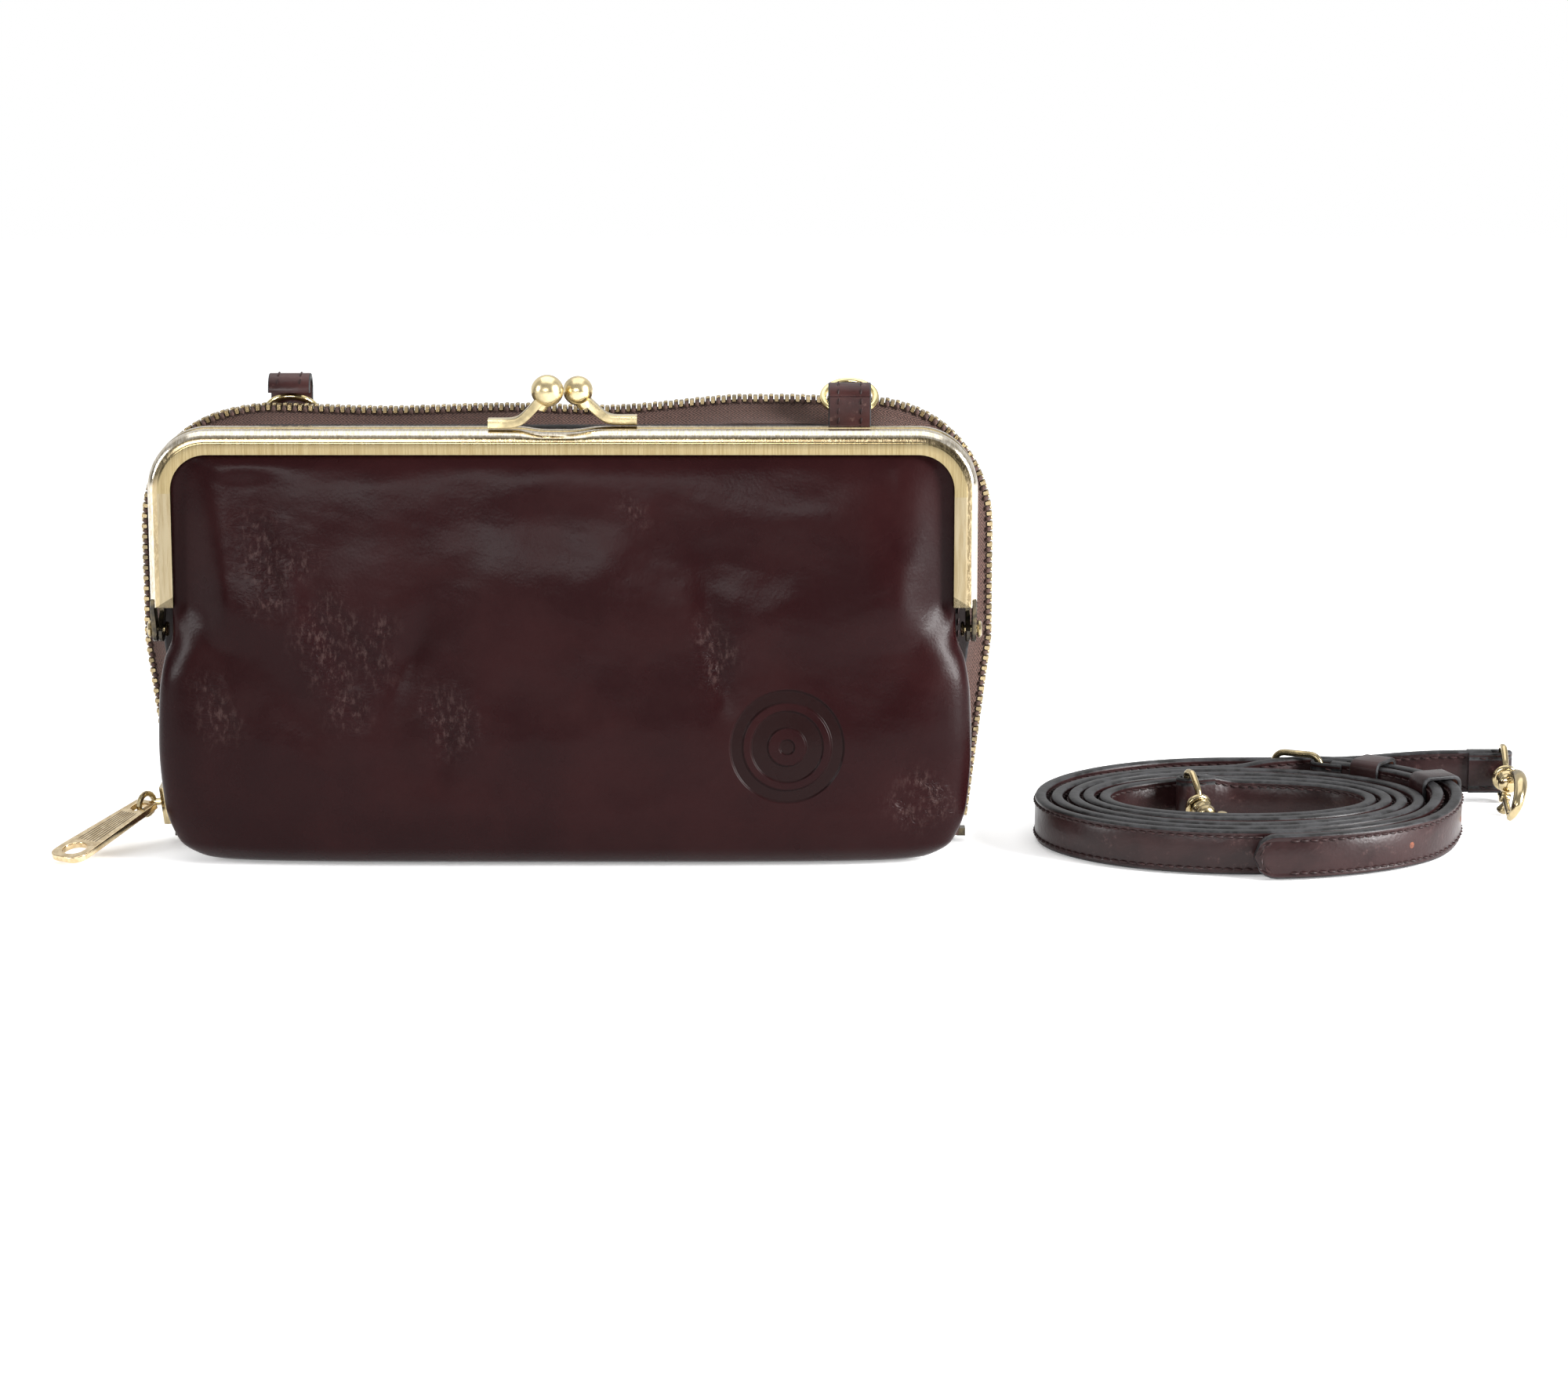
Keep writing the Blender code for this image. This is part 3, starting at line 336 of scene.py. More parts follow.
def curve(points):
    """A smooth function through (x, y) points, level beyond its ends."""
    xs = np.array([p[0] for p in points], float)
    ys = np.array([p[1] for p in points], float)
    steps = np.diff(ys) / np.diff(xs)
    slopes = np.zeros(len(xs))
    for k in range(1, len(xs) - 1):
        a, b = steps[k - 1], steps[k]
        slopes[k] = 0 if a * b <= 0 else 2 * a * b / (a + b)
    slopes[0], slopes[-1] = steps[0], steps[-1]

    def value(x):
        x = np.clip(np.asarray(x, float), xs[0], xs[-1])
        k = np.clip(np.searchsorted(xs, x, side="right") - 1, 0, len(xs) - 2)
        h = xs[k + 1] - xs[k]
        t = (x - xs[k]) / h
        return (ys[k] * (1 + 2 * t) * (1 - t) ** 2 + slopes[k] * h * t * (1 - t) ** 2
                + ys[k + 1] * t * t * (3 - 2 * t) + slopes[k + 1] * h * t * t * (t - 1))
    return value


def smooth(low, high, value):
    """From 0 at low to 1 at high, level beyond them."""
    t = np.clip((np.asarray(value, float) - low) / (high - low), 0, 1)
    return t * t * (3 - 2 * t)


class Shape:
    """Vertices (mm), faces, UVs (mm) and a material slot per face, gathered bit by bit."""

    def __init__(self):
        self.verts, self.faces, self.uvs, self.slots, self.count = [], [], [], [], 0

    def add(self, verts, faces, slot=0, uvs=None):
        verts = np.asarray(verts, float).reshape(-1, 3)
        self.verts.append(verts)
        for face in faces:
            self.faces.append([i + self.count for i in face])
            self.slots.append(slot)
        self.uvs.append(np.zeros((len(verts), 2)) if uvs is None else np.asarray(uvs, float))
        self.count += len(verts)
        return self

    def move(self, matrix):
        """Carry everything gathered so far by a 4x4 matrix."""
        m = np.array(matrix)
        self.verts = [v @ m[:3, :3].T + m[:3, 3] for v in self.verts]
        return self

    def join(self, other):
        """Take in another shape."""
        self.verts += other.verts
        self.uvs += other.uvs
        self.faces += [[i + self.count for i in face] for face in other.faces]
        self.slots += other.slots
        self.count += other.count


def piece(name, shape, looks, body, nodes=(), sharp=40, attribute=None):
    """Make a shape into an object that rides on a body and stands for CAD nodes."""
    mesh = bpy.data.meshes.new(name)
    verts = (np.concatenate(shape.verts) - (0, DATUM_Y, 0)) * MM
    mesh.from_pydata(verts.tolist(), [], shape.faces)
    for look in looks if isinstance(looks, (list, tuple)) else [looks]:
        mesh.materials.append(look)
    mesh.polygons.foreach_set("material_index", shape.slots)
    layer = mesh.uv_layers.new(name="uv")
    corner = np.zeros(len(mesh.loops), dtype=np.int32)
    mesh.loops.foreach_get("vertex_index", corner)
    layer.data.foreach_set("uv", np.concatenate(shape.uvs)[corner].astype(np.float32).ravel())
    if attribute is not None:
        mesh.attributes.new("crease", "FLOAT", "POINT").data.foreach_set(
            "value", np.asarray(attribute, np.float32))
    mesh.update()
    faces = bmesh.new()
    faces.from_mesh(mesh)
    bmesh.ops.recalc_face_normals(faces, faces=faces.faces)
    faces.to_mesh(mesh)
    faces.free()
    mesh.shade_smooth()
    mesh.set_sharp_from_angle(angle=math.radians(sharp))
    made = bpy.data.objects.new(name, mesh)
    bpy.context.scene.collection.objects.link(made)
    if body:
        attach(made, body)
    if nodes:
        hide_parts(*([nodes] if isinstance(nodes, str) else nodes))
    return made


def loft(rows, cyclic=False, caps=False, slot=0, row_slots=None, uvs=None):
    """Rows of equally many points joined by quads; cyclic closes each row."""
    rows = np.asarray(rows, float)
    n, m = rows.shape[:2]
    made = Shape()
    faces, slots = [], []
    for i in range(n - 1):
        for j in range(m if cyclic else m - 1):
            k = (j + 1) % m
            faces.append((i * m + j, i * m + k, (i + 1) * m + k, (i + 1) * m + j))
            slots.append(row_slots[j] if row_slots else slot)
    made.add(rows.reshape(-1, 3), faces, slot, None if uvs is None else np.reshape(uvs, (-1, 2)))
    made.slots = slots
    if caps:
        made.faces.append(list(range(m))[::-1])
        made.faces.append([(n - 1) * m + j for j in range(m)])
        made.slots += [slot, slot]
    return made


def frames_along(path, up):
    """Unit (forward, across, up) at each point; up is a fixed vector or one per point."""
    path = np.asarray(path, float)
    forward = np.gradient(path, axis=0)
    forward /= np.linalg.norm(forward, axis=1)[:, None]
    up = np.broadcast_to(np.asarray(up, float), path.shape)
    across = np.cross(forward, up)
    across /= np.linalg.norm(across, axis=1)[:, None]
    return forward, across, np.cross(across, forward)


def lengths(path):
    """Distance along a path at each of its points."""
    path = np.asarray(path, float)
    return np.concatenate([[0], np.cumsum(np.linalg.norm(np.diff(path, axis=0), axis=1))])


def interpolate(values, along, at):
    """The points or directions of a path at a distance, or at each of several."""
    return np.stack([np.interp(at, along, values[:, c]) for c in range(3)], axis=-1)


def grid_uvs(path, section):
    return np.stack(np.meshgrid(lengths(path), lengths(section), indexing="ij"), axis=-1)


def sweep(path, section, up, row_slots=None):
    """Carry a closed section (across, up) along a path."""
    path = np.asarray(path, float)
    _, across, above = frames_along(path, up)
    section = np.asarray(section, float)
    rows = (path[:, None] + across[:, None] * section[None, :, 0:1]
            + above[:, None] * section[None, :, 1:2])
    return loft(rows, True, True, 0, row_slots, grid_uvs(path, section))


def tube(path, radius, sides=14, slot=0, closed=False):
    """A round rod with domed ends along a path; radius is one number or one per point."""
    path = np.asarray(path, float)
    radius = np.broadcast_to(np.asarray(radius, float), (len(path),)).copy()
    ring = np.array([(math.cos(a), math.sin(a)) for a in np.linspace(0, 2 * math.pi, sides,
                                                                     endpoint=False)])
    if closed:
        path = np.vstack([path, path[:1]])
        radius = np.append(radius, radius[0])
    else:
        first = (path[0] - path[1]) / np.linalg.norm(path[0] - path[1])
        last = (path[-1] - path[-2]) / np.linalg.norm(path[-1] - path[-2])
        lead = [(path[0] + first * radius[0] * math.cos(a), radius[0] * math.sin(a))
                for a in (0.25, 0.7, 1.15)]
        tail = [(path[-1] + last * radius[-1] * math.cos(a), radius[-1] * math.sin(a))
                for a in (1.15, 0.7, 0.25)]
        path = np.vstack([[p for p, _ in lead], path, [p for p, _ in tail]])
        radius = np.concatenate([[r for _, r in lead], radius, [r for _, r in tail]])
    forward = np.gradient(path, axis=0)
    if closed:
        forward[0] = forward[-1] = path[1] - path[-2]
    forward /= np.linalg.norm(forward, axis=1)[:, None]
    side = np.cross(forward[0], (0.31, 0.2, 0.93))
    rows = []
    for p, f, r in zip(path, forward, radius):
        side = side - f * side.dot(f)
        side /= np.linalg.norm(side)
        other = np.cross(f, side)
        rows.append(p + r * (ring[:, :1] * side + ring[:, 1:] * other))
    return loft(rows, True, not closed, slot)


def lathe(profile, start, way, sides=28, slot=0):
    """Turn (radius, height) about an axis from start along way."""
    way = Vector(way).normalized()
    turn = np.array(way.to_track_quat("Z", "Y").to_matrix())
    angles = np.linspace(0, 2 * math.pi, sides, endpoint=False)
    rows = [[(r * math.cos(a), r * math.sin(a), h) for a in angles] for r, h in profile]
    made = loft(rows, True, True, slot)
    made.verts = [v @ turn.T + np.array(start) for v in made.verts]
    return made


def arc(centre, radius, start, end, steps):
    angles = np.radians(np.linspace(start, end, steps + 1))
    return [(centre[0] + radius * math.cos(a), centre[1] + radius * math.sin(a)) for a in angles]


def rounded(half_x, half_y, radius, steps=4):
    """A rounded rectangle, anticlockwise from its right-hand side."""
    points = []
    for sx, sy, start in ((1, 1, 0), (-1, 1, 90), (-1, -1, 180), (1, -1, 270)):
        points += arc((sx * (half_x - radius), sy * (half_y - radius)), radius, start,
                      start + 90, steps)
    return points


def rounded_path(points, radius, steps=5):
    """A polyline whose inner corners are rounded."""
    points = [np.asarray(p, float) for p in points]
    made = [points[0]]
    for before, at, after in zip(points, points[1:], points[2:]):
        a = at + (before - at) * min(0.5, radius / np.linalg.norm(before - at))
        b = at + (after - at) * min(0.5, radius / np.linalg.norm(after - at))
        for t in np.linspace(0, 1, steps + 1):
            made.append(a * (1 - t) ** 2 + at * 2 * t * (1 - t) + b * t * t)
    made.append(points[-1])
    return np.array(made)


def spline(points, per=6):
    """A Catmull-Rom curve through points."""
    p = np.asarray(points, float)
    p = np.vstack([2 * p[0] - p[1], p, 2 * p[-1] - p[-2]])
    made = []
    for k in range(1, len(p) - 2):
        for t in np.linspace(0, 1, per, endpoint=False):
            made.append(0.5 * (2 * p[k] + (p[k + 1] - p[k - 1]) * t
                               + (2 * p[k - 1] - 5 * p[k] + 4 * p[k + 1] - p[k + 2]) * t * t
                               + (3 * p[k] - p[k - 1] - 3 * p[k + 1] + p[k + 2]) * t ** 3))
    made.append(p[-2])
    return np.array(made)


def resample(path, step):
    """The same path with its points about step apart."""
    path = np.asarray(path, float)
    along = lengths(path)
    count = max(2, int(round(along[-1] / step)) + 1)
    at = np.linspace(0, along[-1], count)
    return interpolate(path, along, at)


STITCH_SKEW = 0.12             # how far each end of a stitch lies off the row


def stitches(shape, path, normal, pitch, length, radius, sink=0.05, slot=0):
    """Add a row of stitches along a path; normal (per point) points off the leather."""
    path = np.asarray(path, float)
    normal = np.broadcast_to(np.asarray(normal, float), path.shape)
    along = lengths(path)
    count = int((along[-1] - length) / pitch)
    if count < 1:
        return
    start = (along[-1] - (count - 1) * pitch) / 2
    for k in range(count):
        middle = start + k * pitch
        spots = np.array([middle - length / 2, middle - length / 4, middle,
                          middle + length / 4, middle + length / 2])
        at = interpolate(path, along, spots)
        off = interpolate(normal, along, spots)
        side = np.cross(at[-1] - at[0], off[2])
        side /= np.linalg.norm(side)
        lift = np.array([-0.75, 0.55, 0.9, 0.55, -0.75]) * radius - sink
        at = at + off * lift[:, None] + side * np.linspace(-STITCH_SKEW, STITCH_SKEW, 5)[:, None]
        shape.join(tube(at, radius * np.array([0.8, 1, 1, 1, 0.8]), 6, slot))


# ------------------------------------------------------------------ outlines shared with the CAD

ZIP_Y, ZIP_TOP, ZIP_HALF, ZIP_CORNER = 11.0, 107.0, 100.3, 30.0
ZIP_FOOT_X, ZIP_FOOT_Z, ZIP_KNEE_Z = 94.5, 4.0, 50.0
FRAME_HALF, FRAME_TOP, FRAME_FOOT, FRAME_CORNER = 96.7, 102.7, 60.0, 14.0
PIVOT_Y, PIVOT_Z = -7.0, 55.0


def zip_side(z, inset=0.0):
    """Half width of the zip's line at a height, which narrows below the knee."""
    slope = (ZIP_HALF - ZIP_FOOT_X) / (ZIP_KNEE_Z - ZIP_FOOT_Z)
    return ZIP_HALF - slope * max(0.0, ZIP_KNEE_Z - z) - inset


def arch_normals(path):
    """Unit normals of an arch in the XZ plane, on its outer side."""
    forward = np.gradient(path, axis=0)
    forward /= np.linalg.norm(forward, axis=1)[:, None]
    return np.stack([-forward[:, 2], 0 * forward[:, 1], forward[:, 0]], axis=1)


def zip_arch(step, left_foot=ZIP_FOOT_Z):
    """The zip's line as (x, 0, z), left foot to right foot, and its outward normal."""
    corner = (ZIP_HALF - ZIP_CORNER, ZIP_TOP - ZIP_CORNER)
    right = [(zip_side(z), z) for z in (ZIP_FOOT_Z, 20, 35, ZIP_KNEE_Z, 63, corner[1])]
    right += arc(corner, ZIP_CORNER, 0, 90, 24)[1:]
    left = [(-x, z) for x, z in right if z > left_foot]
    left = [(-zip_side(left_foot), left_foot)] + left
    path = [(x, 0, z) for x, z in left + [(0.0, ZIP_TOP)] + right[::-1]]
    path = resample(path, step)
    return path, arch_normals(path)


def arch_rows(path, normal, section):
    """Rows of points: section (outward, y) carried along an arch."""
    section = np.asarray(section, float)
    rows = path[:, None] + normal[:, None] * section[None, :, 0:1]
    rows[:, :, 1] = section[None, :, 1]
    return rows, grid_uvs(path, section)


# ------------------------------------------------------------------ pouch leather

HALF = curve([(0, 80), (1.2, 86), (5, 91.4), (14, 94.6), (28, 95.6), (40, 95.2), (48, 94.0),
              (54, 91.9), (60, 91.6), (66, 93.0), (88.7, 93.4)])
FRONT = curve([(0, -13.5), (1.2, -16.2), (5, -19.2), (14, -21.0), (28, -21.0), (40, -19.8),
               (52, -18.4), (66, -17.2), (80, -15.8), (89, -14.4), (93.7, -13.2), (96.3, -11.9),
               (97.3, -10.9), (99.6, -10.0)])
BACK = curve([(0, -4.5), (1.2, -2.4), (5, -0.9), (14, -0.4), (40, -0.8), (50, -1.4), (60, -2.6),
              (70, -3.6), (99.6, -4.0)])
SEAM = curve([(0, -9.0), (5, -10.2), (28, -10.4), (44, -9.6), (54, -8.0), (62, -7.6)])
ROUND = curve([(0, 4.2), (20, 5.0), (46, 5.6), (60, 9.0)])
TOP_ROW = 99.6
LINE = 0.42                    # height of the pouch's underside

DENTS = [                      # x, z, depth (mm, positive sinks), spread across and along, turn
    (-74, 82, 1.5, 9, 15, 12), (-64, 58, -0.8, 10, 9, 0), (-52, 52, 1.2, 4.0, 16, 24),
    (-44, 66, -0.9, 9, 12, 20), (-36, 50, 0.9, 3.2, 12, -18), (-24, 42, -0.7, 8, 9, 0),
    (-27, 33, 0.8, 3.0, 13, -8), (-60, 36, 0.9, 5.0, 12, 30), (0, 60, -1.0, 34, 14, 0),
    (30, 74, 0.8, 22, 9, -12), (36, 52, 0.9, 3.0, 14, 10), (46, 60, -0.6, 8, 10, 0),
    (56, 40, 0.7, 12, 9, 0), (72, 66, -0.8, 9, 16, 0), (79, 76, 0.9, 5.0, 18, 4),
    (82, 20, 0.9, 6.0, 9, -30), (66, 10, -0.7, 10, 6, 0), (86, 34, -0.5, 6.0, 10, 0),
    (-80, 26, 0.7, 8, 12, 0), (-30, 14, -0.7, 22, 7, 0), (12, 24, 0.6, 16, 9, 20),
    (-8, 82, 0.7, 26, 7, 6), (-84, 60, 0.6, 5, 10, 0), (58, 84, -0.6, 14, 7, 0),
]
CREASES = [                    # x, z of each end, depth, width
    ((-60, 62), (-48, 33), 0.42, 2.2), ((-56, 66), (-41, 44), 0.34, 1.8),
    ((-47, 52), (-40, 60), 0.30, 1.6), ((-30, 44), (-26, 27), 0.36, 1.8),
    ((-25, 42), (-22, 29), 0.30, 1.4), ((-72, 84), (-66, 60), 0.34, 2.4),
    ((-69, 78), (-58, 70), 0.26, 1.8), ((32, 60), (37, 42), 0.36, 1.6),
    ((36, 58), (39, 47), 0.26, 1.3), ((14, 88), (19, 80), 0.16, 1.2),
    ((80, 24), (90, 12), 0.34, 1.8), ((76, 18), (85, 9), 0.30, 1.6),
    ((-85, 46), (-78, 30), 0.26, 1.8), ]


def waves(x, z, seed, size):
    """Smooth random waves of the plane, about -1..1, in three octaves of five."""
    rng = np.random.default_rng(seed)
    total = np.zeros_like(x)
    for k in range(15):
        turn = rng.uniform(0, 2 * math.pi)
        reach = size / (1.7 ** (k // 5)) * rng.uniform(0.75, 1.3)
        phase = rng.uniform(0, 2 * math.pi)
        total += np.sin((x * math.cos(turn) + z * math.sin(turn)) * 2 * math.pi / reach
                        + phase) / (1.5 ** (k // 5))
    return total / 5.0


def relief(x, z):
    """Outward height of the front leather, and how creased it is there."""
    height = 0.26 * waves(x, z, 3, 46) + 0.05 * waves(x, z, 5, 13)
    for cx, cz, depth, wide, tall, turn in DENTS:
        c, s = math.cos(math.radians(turn)), math.sin(math.radians(turn))
        u, v = (x - cx) * c + (z - cz) * s, -(x - cx) * s + (z - cz) * c
        height = height - 0.95 * depth * np.exp(-(u / wide) ** 2 - (v / tall) ** 2)
    # This crease mask also lightens the pouch's colour: a painted highlight along the creases, with
    # some wear.
    lighter_marks = np.zeros_like(x)
    wobble = 1.6 * waves(x, z, 11, 16)
    for (ax, az), (bx, bz), depth, wide in CREASES:
        d = np.array((bx - ax, bz - az), float)
        size = np.linalg.norm(d)
        d /= size
        along = (x - ax) * d[0] + (z - az) * d[1]
        off = (x - ax) * -d[1] + (z - az) * d[0] + wobble
        fade = smooth(-3, 5, along) * smooth(-3, 5, size - along)
        height = height - depth * fade * np.exp(-(off / wide) ** 2)
        height = height + 0.5 * depth * fade * np.exp(-((off - 1.9 * wide) / (1.2 * wide)) ** 2)
        lighter_marks = np.maximum(lighter_marks, fade * np.exp(-(off / (2.0 * wide)) ** 2))
    medal = smooth(12, 19, np.hypot(x - MEDAL_X, z - MEDAL_Z))
    return height * (0.25 + 0.75 * medal), lighter_marks * medal


def half_width(z):
    """Half width of the pouch, rounded off at the top to follow the frame's corners."""
    z = np.asarray(z, float)
    top = 82.7 + np.sqrt(np.maximum(0, 10.9 ** 2 - np.maximum(0, z - 88.7) ** 2))
    return np.where(z > 88.7, np.minimum(top, HALF(88.7)), HALF(z))


def pouch_wall(front, inset, top, columns):
    """One wall of the pouch from the middle of its base to the frame, as rows of points."""
    heights = np.concatenate([np.linspace(0, 6, 13)[:-1], np.linspace(6, 56, 64)[:-1],
                              np.linspace(56, 93.7, 54)[:-1], np.linspace(93.7, top, 12)])
    u = np.linspace(-1, 1, columns)
    t = np.sign(u) * (1 - (1 - np.abs(u)) ** 1.6)
    rows, marks = [], []
    for scale in (0.0, 0.35, 0.7, 0.9):
        z = np.full(columns, LINE + inset + 0.25 * (1 - scale))
        half = (float(HALF(0.0)) - inset) * (0.9 + 0.1 * scale)
        reach = float((FRONT if front else BACK)(0.0)) - float(SEAM(0.0))
        reach -= math.copysign(inset, reach)
        y = float(SEAM(0.0)) + reach * scale * (1 - np.abs(t) ** 6) ** 0.5
        rows.append(np.stack([half * t, y, z], axis=1))
        marks.append(np.zeros(columns))
    for height in heights:
        half = float(half_width(height)) - inset
        far = float((FRONT if front else BACK)(height))
        seam = float(SEAM(height))
        x = half * t
        power = float(ROUND(height))
        lower = (1 - np.abs(t) ** power) ** (1 / 2.3)
        upper = smooth(0.0, 13.0, 90.5 - np.abs(x))
        held = float(smooth(50, 63, height))
        edge = -10.6 if front else -3.4
        y_low = seam + (far - math.copysign(inset, far - seam) - seam) * lower
        shift = inset if front else -inset
        y_high = edge + shift * 0.7 + (far - edge + shift * 0.3) * upper
        y = y_low * (1 - held) + y_high * held
        z = np.full(columns, max(height, LINE) + inset * (1 - float(smooth(0, 40, height))))
        mark = np.zeros(columns)
        if front:
            height_map, mark = relief(x, z)
            free = np.minimum(smooth(0, 14, 92 - np.abs(x)), smooth(0, 7, 96.7 - z))
            free = free * smooth(0, 8, z)
            y = y - height_map * free
            sunk = np.exp(-((92.4 - np.abs(x)) / 3.5) ** 2) * smooth(58, 50, z) * smooth(44, 50, z)
            y = y + 0.35 * sunk
        rows.append(np.stack([x, y, z], axis=1))
        marks.append(mark)
    return np.array(rows), np.array(marks)


def wall_piece(name, front, inset, thick, look, nodes, top=TOP_ROW, columns=221):
    """A wall of the pouch with a real thickness: outer skin, inner skin and a rim."""
    outer, marks = pouch_wall(front, inset, top, columns)
    normal = np.cross(np.gradient(outer, axis=1), np.gradient(outer, axis=0))
    normal /= np.maximum(np.linalg.norm(normal, axis=2), 1e-9)[:, :, None]
    middle = normal[len(normal) // 2, normal.shape[1] // 2]
    if middle[1] * (-1 if front else 1) < 0:
        normal = -normal
    inner = outer - normal * thick
    inner[:, :, 2] = np.maximum(inner[:, :, 2], outer[:, :, 2].min() + 0.05)
    n, m = outer.shape[:2]
    shape = loft(outer)
    if not front:
        shape.faces = [f[::-1] for f in shape.faces]
    back = loft(inner)
    if front:
        back.faces = [f[::-1] for f in back.faces]
    shape.join(back)
    ring = [j for j in range(m)] + [i * m + m - 1 for i in range(1, n)]
    ring += [(n - 1) * m + j for j in range(m - 2, -1, -1)] + [i * m for i in range(n - 2, 0, -1)]
    for a, b in zip(ring, ring[1:] + ring[:1]):
        shape.faces.append([a, b, b + n * m, a + n * m] if not front
                           else [b, a, a + n * m, b + n * m])
        shape.slots.append(0)
    mark = np.concatenate([marks.ravel(), np.zeros(n * m)])
    made = piece(name, shape, look, None if front else "purse_body", nodes, 60, mark)
    if front:
        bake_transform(made)
    return made


wall_piece("pouch_leather_front", True, 0.0, 1.2, POUCH, ["pouch_bag", "pouch_front_upper"])
wall_piece("pouch_leather_back", False, 0.0, 1.2, POUCH, ["pouch_back_upper"],
           columns=121)
wall_piece("pouch_cloth_front", True, 1.7, 0.35, CLOTH, ["pouch_lining"], 95.2, 121)
wall_piece("pouch_cloth_back", False, 1.7, 0.35, CLOTH, [], 95.2, 121)


# ------------------------------------------------------------------ kiss-lock frame

FRONT_MID, REAR_MID = -10.0, -4.0
FRAME_SECTION = [              # outward, y of the front half's channel
    (-5.75, -12.35), (-5.55, -12.72), (-5.1, -12.86), (-4.0, -12.9), (-3.0, -12.86),
    (-2.62, -12.84), (-2.5, -12.76), (-2.38, -12.74), (-2.0, -12.67), (-1.45, -12.5),
    (-1.1, -12.3), (-0.68, -11.9), (-0.28, -11.3), (-0.06, -10.5), (0.0, -9.6),
    (-0.06, -8.6), (-0.35, -7.75), (-0.9, -7.28), (-1.8, -7.2), (-5.6, -7.2),
    (-5.75, -7.35), (-5.75, -8.2), (-1.2, -8.3), (-1.1, -8.5), (-1.1, -11.5),
    (-1.2, -11.7), (-5.75, -11.7),
]
# The first range is painted as a dark reflection, the second as a pale highlight.
DARK_REFLECTION_BAND, RIM = range(6, 9), range(9, 15)      # sides of that section, by their first point


def frame_path():
    corner = (FRAME_HALF - FRAME_CORNER, FRAME_TOP - FRAME_CORNER)
    right = [(FRAME_HALF, FRAME_FOOT + 0.2), (FRAME_HALF, 75)]
    right += arc(corner, FRAME_CORNER, 0, 90, 20)
    left = [(-x, z) for x, z in right]
    path = resample([(x, 0, z) for x, z in left + right[::-1]], 0.9)
    return path, arch_normals(path)


def plate_x(outline, low_x, high_x, slot):
    """A flat piece drawn as (y, z), from low_x to high_x, with its edges eased."""
    chamfer = 0.2
    outline = np.asarray(outline, float)
    middle = outline.mean(axis=0)
    small = middle + (outline - middle) * (1 - chamfer / 3)
    rows = []
    for ring, x in ((small, low_x), (outline, low_x + chamfer), (outline, high_x - chamfer),
                    (small, high_x)):
        rows.append([(x, y, z) for y, z in ring])
    return loft(rows, True, True, slot)


def frame_half(front):
    """One U of the frame: brushed face, a line of painted dark reflection, a rim of painted
    highlight and the two hinge ears.
    """
    path, normal = frame_path()
    section = np.array(FRAME_SECTION)
    if not front:
        section = np.stack([section[:, 0], 2 * PIVOT_Y - section[:, 1]], axis=1)[::-1]
    rows, uvs = arch_rows(path, normal, section)
    scoop = np.exp(-((rows[:, :, 0] + 1.0) / 7.0) ** 4) * smooth(-2.2, -0.3, section[None, :, 0])
    rows[:, :, 2] -= 0.75 * scoop * (rows[:, :, 2] > 90)
    for end in (0, -1):
        rows[end, :, 2] += -section[:, 0] * 0.62
    shape = loft(rows, True, True, 0, None, uvs)
    centre = rows[:, :, 0].mean(axis=1)
    high = rows[:, :, 2].mean(axis=1)
    m = len(section)
    for index, face in enumerate(shape.faces):
        ring = min(face[0] // m, len(high) - 1)
        on_leg = high[ring] < 88 and abs(centre[ring]) > 86
        shape.slots[index] = 1 if on_leg else 0
        around = face[0] % m if front else m - 2 - face[0] % m
        if index < m * (len(high) - 1):
            if around in DARK_REFLECTION_BAND:
                shape.slots[index] = 3
            elif around in RIM:
                shape.slots[index] = 4
    middle = FRONT_MID if front else REAR_MID
    low, high_y = middle - 2.5, middle + 2.5
    ear = arc((PIVOT_Y, PIVOT_Z), 3.0, 180, 360, 14)
    ear += [(high_y, FRAME_FOOT - 0.7), (high_y, FRAME_FOOT + 2.9), (low, FRAME_FOOT + 2.9),
            (low, FRAME_FOOT - 0.7)]
    inner, outer = (95.5, 96.6) if front else (94.15, 95.25)
    for side in (-1, 1):
        shape.join(plate_x(ear, *sorted((side * inner, side * outer)), slot=2))
    name = "frame_half_front" if front else "frame_half_rear"
    node = "frame_front" if front else "frame_rear"
    return piece(name, shape, [FRAME_BRASS, LEG_BRASS, DARK, BAND_BRASS, RIM_HIGHLIGHT_BRASS],
                 "front_frame" if front else "purse_body", node, 38)


frame_half(True)
frame_half(False)

for side, word in ((-1, "left"), (1, "right")):
    rivet = lathe([(0.3, 0), (1.5, 0.05), (2.0, 0.35), (2.1, 0.8), (1.9, 1.1), (0.95, 1.15),
                   (0.95, 4.1), (1.6, 4.2), (1.8, 4.6), (1.5, 5.0), (0.3, 5.1)],
                  (side * 98.0, PIVOT_Y, PIVOT_Z), (-side, 0, 0))
    piece(f"rivet_{word}", rivet, BRASS, "purse_body", f"hinge_rivet_{word}")


